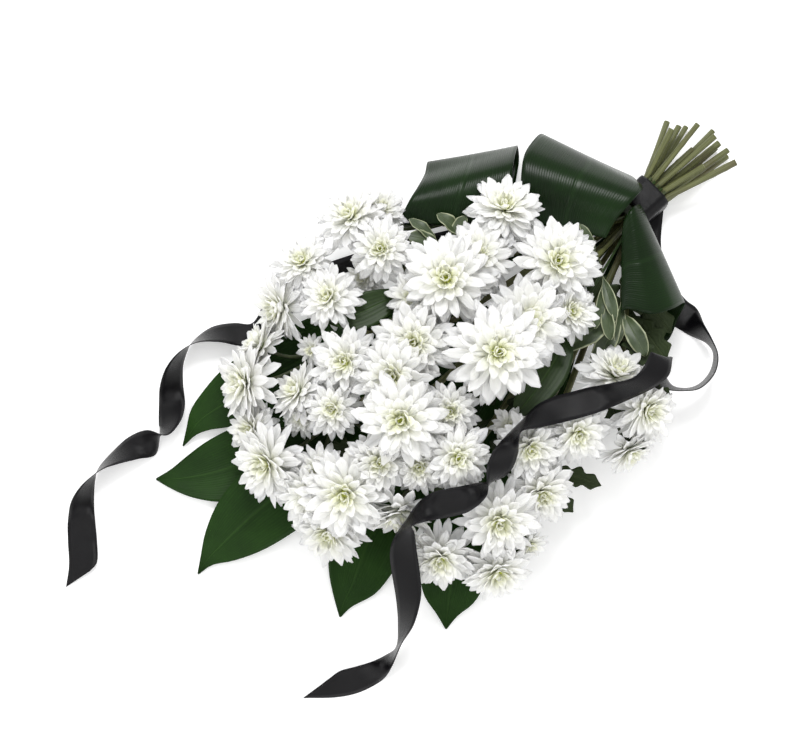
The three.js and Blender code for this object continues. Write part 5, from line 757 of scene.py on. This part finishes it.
PETAL, CENTRE = mat_petal(), mat_centre()
STEM = mat_stem("stem_green", (0.030, 0.038, 0.010), (0.150, 0.160, 0.052), (0.085, 0.064, 0.030))
SIDE = mat_stem("side_stem_green", (0.022, 0.034, 0.010), (0.062, 0.082, 0.026), (0.03, 0.034, 0.014))
CUT = mat_cut()
CALYX = mat_stem("calyx_green", (0.05, 0.08, 0.022), (0.14, 0.19, 0.065), (0.07, 0.09, 0.03))
LEAFM = mat_leaf("aspidistra_green", (0.0060, 0.0200, 0.0028), (0.019, 0.058, 0.0075), 0.42, 26, 0.08, rib=(0.030, 0.075, 0.014), coat=0.0, spec=0.12)
ROLLM = mat_leaf("rolled_green", (0.0022, 0.0075, 0.0014), (0.0072, 0.025, 0.0036), 0.27, 44, 0.08, rib=(0.010, 0.028, 0.006), coat=0.0, spec=0.15, bump_d=0.0002)
SMALLM = mat_leaf("inner_leaf_green", (0.012, 0.026, 0.006), (0.030, 0.058, 0.013), 0.42, 9, 0.10, rib=(0.05, 0.10, 0.02), coat=0.0, spec=0.2, bump_d=0.00018)
MUMLEAF = mat_leaf("chrysanthemum_leaf_green", (0.016, 0.026, 0.009), (0.045, 0.066, 0.024), 0.6, 7, 0.10, rib=(0.09, 0.12, 0.05), coat=0.0, spec=0.2)
PITTO = mat_pitto()
SATIN = mat_satin()
TAPE = mat_tape()

# ------------------------------------------------------------------ flower heads
# whorl: count, length / R, width / R, start angle, tip angle (degrees above the flower's plane), root radius / R, root height / R
WHORLS = [
    (15, 1.01, 0.290, -2, -20, 0.09, -0.07),
    (16, 0.97, 0.300, 14, -2, 0.09, -0.02),
    (15, 0.88, 0.290, 30, 14, 0.08, 0.02),
    (13, 0.72, 0.260, 44, 34, 0.065, 0.06),
    (11, 0.52, 0.210, 58, 56, 0.05, 0.08),
    (9, 0.33, 0.150, 72, 80, 0.03, 0.10),
]


def petal_points(L, W, a0, a1, nu, nv, cup, tipc, twist, bend, notch):
    """A petal lying along +X from the origin, in its own frame (x out, y across, z up)."""
    v = np.linspace(0, 1, nv + 1)
    ang = np.radians(a0 + (a1 - a0) * v ** 1.15 + tipc * np.clip((v - 0.72) / 0.28, 0, 1) ** 2)
    seg = L / nv
    x = np.concatenate([[0], np.cumsum(np.cos((ang[1:] + ang[:-1]) / 2) * seg)])
    z = np.concatenate([[0], np.cumsum(np.sin((ang[1:] + ang[:-1]) / 2) * seg)])
    # narrow base, widest past the middle, rounded point
    w = (0.34 + 0.66 * np.sin(np.clip(v / 0.66, 0, 1) * np.pi / 2) ** 1.3)
    e = np.clip((v - 0.58) / 0.42, 0, 1)
    w = w * np.sqrt(np.clip(1 - (e * 0.98) ** 2.4, 0.0, 1))
    w = np.maximum(w, 0.05) * W / 2
    u = np.linspace(-1, 1, nu + 1)
    P = np.zeros((nv + 1, nu + 1, 3))
    for i in range(nv + 1):
        t = np.array([np.cos(ang[i]), 0, np.sin(ang[i])])
        n = np.array([-np.sin(ang[i]), 0, np.cos(ang[i])])
        tw = np.radians(twist) * v[i]
        across = np.cos(tw) * np.array([0, 1, 0]) + np.sin(tw) * n
        nn = -np.sin(tw) * np.array([0, 1, 0]) + np.cos(tw) * n
        lift = cup * w[i] * (np.abs(u) ** 1.6) * (1 - 0.45 * v[i])
        if nu >= 4:
            lift = lift - 0.055 * w[i] * np.cos(u * np.pi * 2)
        P[i] = np.array([x[i], 0, z[i]]) + across * (u * w[i])[:, None] + nn * lift[:, None]
        P[i, :, 1] += bend * v[i] ** 2
    # blunt, slightly notched tip
    P[nv, :, 0] -= notch * L * np.cos(u * np.pi) ** 2 * 0.5
    return P


HEADS = []          # (centre, normal, radius) of every head
for s in SPRAYS:
    for h in s["heads"]:
        HEADS.append((np.array(h[1:4]), unit(h[4:7]), h[7], h[0]))


def frame_of(n, spin):
    a = unit(np.cross(n, [0.3, 0.9, 0.1]))
    b = np.cross(n, a)
    return np.cos(spin) * a + np.sin(spin) * b, -np.sin(spin) * a + np.cos(spin) * b, n


def crowded(p, me):
    """How deep the point p (mm) is inside another head's spread of petals."""
    worst = 0.0
    for k, (c, n, R, _) in enumerate(HEADS):
        if k == me:
            continue
        d = p - c
        if abs(d[0]) > R or abs(d[1]) > R or abs(d[2]) > R:
            continue
        h = d @ n
        rho = np.sqrt(max(d @ d - h * h, 0)) / R
        if rho < 0.94:
            mid = R * (0.03 + 0.30 * (1 - rho))
            half = R * (0.05 + 0.26 * (1 - rho))
            worst = max(worst, 1 - abs(h - mid) / half)
    return worst


# lowest height of the ribbon over each 2 mm square, where it lies over the flowers
COVER = {}
for _rows in RIBBONS.values():
    _E = spline(np.array(_rows, float), 12 * len(_rows))
    for _e in _E:
        for _t in np.linspace(-0.12, 1.12, 22):
            _q = _e[0] + (_e[1] - _e[0]) * _t
            if _q[2] > 24:
                for _dx in (-1, 0, 1):
                    for _dy in (-1, 0, 1):
                        _k = (int(_q[0] // 2) + _dx, int(_q[1] // 2) + _dy)
                        COVER[_k] = min(COVER.get(_k, 1e9), _q[2])


def under_ribbon(W):
    """Petals are pressed down by the ribbon that crosses them."""
    flat = W.reshape(-1, 3)
    for q in flat:
        z = COVER.get((int(q[0] // 2), int(q[1] // 2)))
        if z is not None and q[2] > z - 1.6 and z > 12:
            q[2] = z - 1.6
    return flat.reshape(W.shape)


# heads that are more open than the rest
FULL = ("H1", "H2", "H3", "H4", "H5", "H6", "H7", "H8", "H22", "H28", "H32", "H34", "H7b")


def make_head(soup, hid, h, rg):
    c, n, R = np.array(h[1:4]), unit(h[4:7]), h[7] * (1.14 if h[0] in FULL else 1.07 if h[7] < 28 else 1.03)
    X, Y, Z = frame_of(n, rg.uniform(0, 6.28))
    M = np.stack([X, Y, Z])          # rows: local axes in the world
    small = R < 17
    for wi, (cnt, lr, wr, a0, a1, rr, zr) in enumerate(WHORLS):
        if small and wi in (0, 3):
            continue
        cnt = int(round(cnt * (0.8 if small else 1.0)))
        off = rg.uniform(0, 6.28)
        for k in range(cnt):
            phi = off + (k + rg.uniform(-0.22, 0.22)) * 2 * np.pi / cnt
            L = R * lr * rg.uniform(0.86, 1.12)
            W = R * wr * rg.uniform(0.82, 1.14)
            j0, j1 = rg.normal(0, 6), rg.normal(0, 11)
            big = wi < 3
            nu, nv = (4, 6) if big else (2, 4)
            best = None
            for lift in (0, 10, 22, -12, 34):
                P = petal_points(L, W, a0 + j0 + lift * 0.6, a1 + j1 + lift, nu, nv,
                                 rg.uniform(0.16, 0.42) if big else 0.45,
                                 rg.normal(8, 16) if big else 10, rg.normal(0, 16), rg.normal(0, 0.07) * L, 0.05)
                P[..., 0] += rr * R
                P[..., 2] += zr * R
                co, si = np.cos(phi), np.sin(phi)
                Q = np.stack([P[..., 0] * co - P[..., 1] * si, P[..., 0] * si + P[..., 1] * co, P[..., 2]], axis=-1)
                Wd = Q @ M + c
                if wi > 3:
                    best = (0, Wd)
                    break
                bad = crowded(Wd[nv, nu // 2], hid) + 0.7 * crowded(Wd[nv * 2 // 3, nu // 2], hid)
                if best is None or bad < best[0] - 0.05:
                    best = (bad, Wd)
                if bad < 0.08:
                    break
            Wd = best[1]
            if best[0] > 0.9 and big:      # hemmed in: a shorter petal
                root = Wd[0].mean(axis=0)
                Wd = root + (Wd - root) * 0.72
            lo = Wd[..., 2].min()
            if lo < 0.6:
                Wd[..., 2] += 0.6 - lo
            Wd = under_ribbon(Wd)
            u, v = np.meshgrid(np.linspace(0, 1, nu + 1), np.linspace(0.02, 0.98, nv + 1))
            sheet_solid(soup, Wd, np.linspace(0.75, 0.34, nv + 1), 0, np.stack([u, v + wi], axis=2))
    # disc florets: a tight button of little pointed tubes
    cnt = 26
    for k in range(cnt):
        rr = 0.085 * R * np.sqrt((k + 0.5) / cnt)
        ph = k * 2.39996
        lean = 0.5 * rr / (0.085 * R)
        b = np.array([rr * np.cos(ph), rr * np.sin(ph), 0.14 * R])
        d = unit([np.cos(ph) * lean * 0.6, np.sin(ph) * lean * 0.6, 1])
        Lf = R * rg.uniform(0.07, 0.13)
        p0, p1, p2 = b - d * 0.05 * R, b + d * Lf * 0.7, b + d * Lf
        pts = np.array([p0, p1, p2]) @ M + c
        tube_solid(soup, pts, [0.018 * R, 0.021 * R, 0.006 * R], 1, sides=5)
    # receptacle and calyx
    prof = [(-0.20, 0.05), (-0.17, 0.11), (-0.08, 0.17), (0.02, 0.17), (0.10, 0.12), (0.14, 0.05)]
    pts = np.array([[0, 0, z * R] for z, _ in prof]) @ M + c
    tube_solid(soup, pts, [r_ * R for _, r_ in prof], 3, sides=12)
    for k in range(14):
        ph = k * 2 * np.pi / 14 + rg.uniform(-0.1, 0.1)
        P = petal_points(0.20 * R, 0.085 * R, 62, 6, 2, 3, 0.3, 0, 0, 0, 0)
        P[..., 0] += 0.10 * R
        P[..., 2] += -0.17 * R
        co, si = np.cos(ph), np.sin(ph)
        Q = np.stack([P[..., 0] * co - P[..., 1] * si, P[..., 0] * si + P[..., 1] * co, P[..., 2]], axis=-1)
        u, v = np.meshgrid(np.linspace(0, 1, 3), np.linspace(0, 1, 4))
        sheet_solid(soup, Q @ M + c, 0.4, 3, np.stack([u, v], axis=2))


def make_stem_leaf(soup, l, rg):
    """A lobed chrysanthemum leaf from its base on the stem to its tip."""
    a, b, hw, roll = np.array(l[:3]), np.array(l[3:6]), l[6] * 1.15, l[7]
    d = b - a
    L = np.linalg.norm(d)
    d = d / L
    side = unit(np.cross([0, 0, 1.0], d))
    up = np.cross(d, side)
    r_ = np.radians(roll)
    side, up = np.cos(r_) * side + np.sin(r_) * up, -np.sin(r_) * side + np.cos(r_) * up
    nv, nu = 30, 6
    v, u = np.linspace(0, 1, nv + 1), np.linspace(-1, 1, nu + 1)
    env = np.interp(v, [0, 0.20, 0.27, 0.40, 0.60, 0.78, 0.92, 1.0], [0.10, 0.11, 0.38, 0.72, 1.0, 0.86, 0.52, 0.06])
    # three pairs of rounded lobes, then fine teeth
    lobe = 0.80 + 0.20 * np.cos((v - 0.62) * 2 * np.pi / 0.235) ** 1
    lobe = np.where(v < 0.24, 1, lobe)
    prof = env * lobe
    P = np.zeros((nv + 1, nu + 1, 3))
    ph = rg.uniform(0, 6.28, 2)
    droop = rg.uniform(-0.10, 0.03)
    for i in range(nv + 1):
        c0 = a + d * L * v[i] + up * np.sin(v[i] * np.pi) * L * 0.07 + np.array([0, 0, droop * L * v[i] ** 2 * 0.5])
        tooth = 1 + 0.05 * np.sin(v[i] * 60)
        wv = 0.10 * hw * np.sin(v[i] * 13 + np.where(u < 0, ph[0], ph[1])) * np.abs(u) ** 2
        P[i] = c0 + side[None] * (u * prof[i] * hw * tooth)[:, None] + up[None] * (0.20 * prof[i] * hw * np.abs(u) ** 1.5 + wv * prof[i])[:, None]
    P[..., 2] = np.maximum(P[..., 2], 0.6)
    P[..., 0] = np.clip(P[..., 0], -174, 174)
    uu, vv = np.meshgrid(np.linspace(0, 1, nu + 1), v)
    sheet_solid(soup, P, np.interp(v, [0, 0.24, 0.32, 1], [1.6, 1.4, 0.5, 0.4]), 6, np.stack([uu, vv], axis=2))


def finish_piece(ob, slot, *nodes):
    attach(ob, "root")
    if nodes:
        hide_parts(*nodes)
    return ob


hid = 0
for si, s in enumerate(SPRAYS):
    rg = np.random.default_rng(100 + si)
    soup = Soup()
    stem = np.array(s["stem"])
    # straight through the tie, then a soft bend to the fork
    path = np.vstack([spline(stem[[0, 1]], 26)[:-1], spline(stem[[1, 2]], 8)[:-1], spline(stem[[2, 3]], 24)])
    k = np.linspace(0, 1, len(path))
    # a few swollen joints where leaves were stripped
    swell = sum(0.28 * np.exp(-((k - q) / 0.012) ** 2) for q in rg.uniform(0.05, 0.95, 4))
    tube_solid(soup, path, 2.62 + 0.25 * np.cos(k * 9 + si) + swell, 4, sides=14, ridges=0.05, cut_mat=5, seed=si)
    for b in s["br"]:
        pts = spline(np.array(b), 12)
        tube_solid(soup, pts, np.linspace(1.9, 1.45, 12), 2, sides=8, ridges=0.03, seed=si)
    for h in s["heads"]:
        make_head(soup, hid, h, rg)
        hid += 1
    for l in s["leaves"]:
        make_stem_leaf(soup, l, rg)
    ob = soup.build("spray_" + s["n"], [PETAL, CENTRE, SIDE, CALYX, STEM, CUT, MUMLEAF])
    finish_piece(ob, "bloom", "chrysanthemum_spray_" + s["n"])

# ------------------------------------------------------------------ leaves
def leaf_sheet(name, rows, mat, slot, cadnode, nu, nv, blade_t, wave=1.0, floor=0.0, seed=0):
    rg = np.random.default_rng(seed)
    pts = np.array([[r[0], r[1], r[2]] for r in rows], float)
    tk = np.array([r[3] for r in rows], float)
    M = spline(pts, nv + 1)                    # (nv+1, 3, 3)
    T = np.interp(np.linspace(0, 1, nv + 1), np.linspace(0, 1, len(tk)), tk)
    T = np.where(T < 1.6, blade_t, T)
    u = np.linspace(0, 2, nu + 1)
    P = np.zeros((nv + 1, nu + 1, 3))
    for i in range(nv + 1):
        a, b, c = M[i]
        w = np.linalg.norm(c - a)
        for j, t in enumerate(u):
            if t <= 1:
                q = a + (b - a) * t
            else:
                q = b + (c - b) * (t - 1)
            P[i, j] = q
        # round the fold at the midrib: a shallow parabola instead of a V
        base = a[None] + (c - a)[None] * (u / 2)[:, None]
        depth = b - (a + c) / 2
        P[i] = base + depth[None] * (1 - (u - 1) ** 2)[:, None]
    # gentle waves along the margins
    v = np.linspace(0, 1, nv + 1)
    w = np.linalg.norm(M[:, 2] - M[:, 0], axis=1)
    ph = rg.uniform(0, 6.28, 2)
    for side, p0 in ((-1, ph[0]), (1, ph[1])):
        edge = np.clip(side * (u - 1), 0, 1) ** 2
        P[..., 2] += wave * (np.sin(v * 17 + p0) * np.clip(w / 60, 0, 1))[:, None] * edge[None, :] * 1.0
    soup = Soup()
    sheet_solid(soup, P, T, 0, None, floor=floor)
    ob = soup.build(name, [mat])
    return finish_piece(ob, slot, cadnode)


for k, (name, rows) in enumerate(LEAVES.items()):
    if name.startswith("aspidistra"):
        leaf_sheet("flat_leaf_%02d" % (k + 1), rows, LEAFM, "leaf", name, 16, 60, 0.9, wave=1.1, seed=k)
    else:
        leaf_sheet("small_" + name, rows, SMALLM, "leaf", name, 12, 40, 0.8, wave=0.7, seed=40 + k)
for k, (name, rows) in enumerate(ROLLS.items()):
    if name == "aspidistra_roll_02":
        rows = [[r[0], r[1], r[2], r[3]] for r in rows]
        for i, gain in ((1, 0.03), (2, 0.07), (3, 0.08), (4, 0.06), (5, 0.02)):
            a, c = np.array(rows[i][0]), np.array(rows[i][2])
            c = c + (c - a) * gain
            rows[i] = [list(a), list((a + c) / 2), list(c), rows[i][3]]
    leaf_sheet("rolled_leaf_%02d" % (k + 1), rows, ROLLM, "rolled_leaf", name, 24, 90, 1.0, wave=0.0, seed=60 + k)

# ------------------------------------------------------------------ pittosporum
for k, (name, s) in enumerate(SPRIGS.items()):
    rg = np.random.default_rng(300 + k)
    soup = Soup()
    tw = spline(np.array(s["twig"]), 30)
    tube_solid(soup, tw, np.linspace(1.35, 0.9, 30), 1, sides=8, ridges=0.04, seed=k)
    for l in s["leaves"]:
        a, b, hw, roll = np.array(l[:3]), np.array(l[3:6]), l[6], l[7]
        d = b - a
        L = np.linalg.norm(d)
        d = d / L
        side = unit(np.cross([0, 0, 1.0], d))
        up = np.cross(d, side)
        r_ = np.radians(roll)
        side, up = np.cos(r_) * side + np.sin(r_) * up, -np.sin(r_) * side + np.cos(r_) * up
        nv, nu = 16, 8
        v, u = np.linspace(0, 1, nv + 1), np.linspace(-1, 1, nu + 1)
        prof = np.interp(v, [0, 0.08, 0.25, 0.42, 0.62, 0.80, 0.93, 1.0], [0.09, 0.14, 0.62, 0.90, 1.0, 0.86, 0.52, 0.10])
        P = np.zeros((nv + 1, nu + 1, 3))
        ph = rg.uniform(0, 6.28, 2)
        for i in range(nv + 1):
            c0 = a + d * L * v[i] + up * np.sin(v[i] * np.pi) * L * 0.08
            wv = 0.16 * hw * np.sin(v[i] * 15 + np.where(u < 0, ph[0], ph[1])) * np.abs(u) ** 2
            P[i] = c0 + side[None] * (u * prof[i] * hw)[:, None] + up[None] * (0.24 * prof[i] * hw * np.abs(u) ** 1.7 + wv * prof[i])[:, None]
        uu, vv = np.meshgrid(np.linspace(0, 1, nu + 1), v)
        sheet_solid(soup, P, 0.55, 0, np.stack([uu, vv], axis=2))
    ob = soup.build("sprig_%02d" % (k + 1), [PITTO, SIDE])
    finish_piece(ob, "variegated_leaf", name)

# ------------------------------------------------------------------ ribbon
RIB_W, RIB_LEN = 0.0254, {}
for name, rows in RIBBONS.items():
    E = spline(np.array(rows, float), 6 * len(rows))
    nv, nu = len(E) - 1, 6
    u = np.linspace(0, 1, nu + 1)
    P = E[:, 0][:, None] + (E[:, 1] - E[:, 0])[:, None] * u[None, :, None]
    mid = P[:, nu // 2]
    arc = np.concatenate([[0], np.cumsum(np.linalg.norm(np.diff(mid, axis=0), axis=1))])
    uu, vv = np.meshgrid(u, arc)
    P[..., 2] = np.maximum(P[..., 2], 0.30)
    soup = Soup()
    sheet_solid(soup, P, 0.45, 0, np.stack([uu, vv], axis=2), floor=0.0)
    ob = soup.build(name.replace("ribbon_tail", "satin_tail"), [SATIN])
    finish_piece(ob, "satin", name)
    RIB_LEN[name] = arc[-1] * MM

# ------------------------------------------------------------------ band and tie
def ring_piece(name, cad, mat, slot, y0, y1, inner, outer, plies):
    out = np.array(BUNDLE_OUTLINE)
    cz = out[:, 1].mean()
    d = out - [0, cz]
    ang = np.arctan2(d[:, 1], d[:, 0])
    o = np.argsort(ang)
    n = 64
    aa = np.linspace(-np.pi, np.pi, n, endpoint=False)
    closed = np.vstack([out[o], out[o][:1]])
    # resample the convex outline evenly and soften it
    seg = np.linalg.norm(np.diff(closed, axis=0), axis=1)
    t = np.concatenate([[0], np.cumsum(seg)])
    s_ = np.linspace(0, t[-1], n, endpoint=False)
    ox, oz = np.interp(s_, t, closed[:, 0]), np.interp(s_, t, closed[:, 1])
    dx, dz = ox, oz - cz
    l = np.hypot(dx, dz)
    nx, nz = dx / l, dz / l
    soup = Soup()
    m = 12
    V, UV, F = [], [], []
    ys = np.linspace(y0, y1, m + 1)
    for s2 in range(2):
        g = outer if s2 == 0 else inner
        for i, y in enumerate(ys):
            ply = 0.12 * np.sin(i * 2.1 + np.arange(n) * 2 * np.pi / n * 2) * plies if s2 == 0 else 0
            V.append(np.stack([TIE[0] + ox + nx * (g + ply), np.full(n, y), oz + nz * (g + ply)], axis=1))
            UV.append(np.stack([np.full(n, i / m), s_], axis=1))
    idx = lambda s2, i, j: (s2 * (m + 1) + i) * n + j % n
    for j in range(n):
        for i in range(m):
            F.append((idx(0, i, j), idx(0, i + 1, j), idx(0, i + 1, j + 1), idx(0, i, j + 1)))
            F.append((idx(1, i, j), idx(1, i, j + 1), idx(1, i + 1, j + 1), idx(1, i + 1, j)))
        F.append((idx(0, 0, j), idx(0, 0, j + 1), idx(1, 0, j + 1), idx(1, 0, j)))
        F.append((idx(0, m, j), idx(1, m, j), idx(1, m, j + 1), idx(0, m, j + 1)))
    soup.add(np.vstack(V), F, np.vstack(UV), 0)
    ob = soup.build(name, [mat])
    return finish_piece(ob, slot, cad)


ring_piece("stem_tape", "binding_tie", TAPE, "tie", TIE[1] - 25, TIE[1] - 17, 0.5, 1.5, 1)
ring_piece("satin_band", "ribbon_band", SATIN, "satin", TIE[1] - 14, TIE[1] + 11.4, 0.5, 1.3, 1)

# ------------------------------------------------------------------ floor, light, camera
fl = bpy.data.meshes.new("floor")
S = 4.0
fl.from_pydata([(-S, -S, -0.0003), (S, -S, -0.0003), (S, S, -0.0003), (-S, S, -0.0003)], [], [(0, 1, 2, 3)])
floor = bpy.data.objects.new("floor", fl)
bpy.context.scene.collection.objects.link(floor)
fm, fnt, fbs = new_mat("floor_white")
fbs.inputs["Base Color"].default_value = (0.90, 0.90, 0.90, 1)
fbs.inputs["Roughness"].default_value = 0.9
fbs.inputs["Specular IOR Level"].default_value = 0.1
fbs.inputs["Emission Color"].default_value = (1, 1, 1, 1)
fbs.inputs["Emission Strength"].default_value = 0.30
fl.materials.append(fm)

world = bpy.data.worlds.new("studio")
bpy.context.scene.world = world
world.use_nodes = True
world.node_tree.nodes["Background"].inputs[0].default_value = (1.0, 1.0, 1.0, 1)
world.node_tree.nodes["Background"].inputs[1].default_value = 0.80


def area(name, loc, target, size, watts):
    d = bpy.data.lights.new(name, "AREA")
    d.shape, d.size, d.energy = "DISK", size, watts
    o = bpy.data.objects.new(name, d)
    o.location = loc
    o.rotation_mode = "QUATERNION"
    o.rotation_quaternion = (Vector(target) - Vector(loc)).to_track_quat("-Z", "Y")
    bpy.context.scene.collection.objects.link(o)
    return o


area("key", (-1.1, 1.1, 2.3), (0, 0, 0.05), 1.0, 39)
area("fill", (1.7, -1.0, 1.9), (0, 0, 0.05), 1.6, 14)
area("front", (-0.9, -1.7, 2.1), (0, 0, 0.05), 1.4, 11)

A, E_ = math.radians(CAM_AZ), math.radians(CAM_EL)
back = Vector((math.sin(A) * math.cos(E_), -math.cos(A) * math.cos(E_), math.sin(E_)))
cam_d = bpy.data.cameras.new("camera")
cam = bpy.data.objects.new("camera", cam_d)
cam.location = Vector(CAM_TARGET) * MM + back * (CAM_DIST * MM)
cam.rotation_mode = "QUATERNION"
cam.rotation_quaternion = (-back).to_track_quat("-Z", "Y")
cam_d.sensor_width = 36.0
cam_d.lens = 36.0 / (800 * CAM_K)
bpy.context.scene.collection.objects.link(cam)
bpy.context.scene.camera = cam
bpy.context.scene.view_settings.view_transform = "Standard"
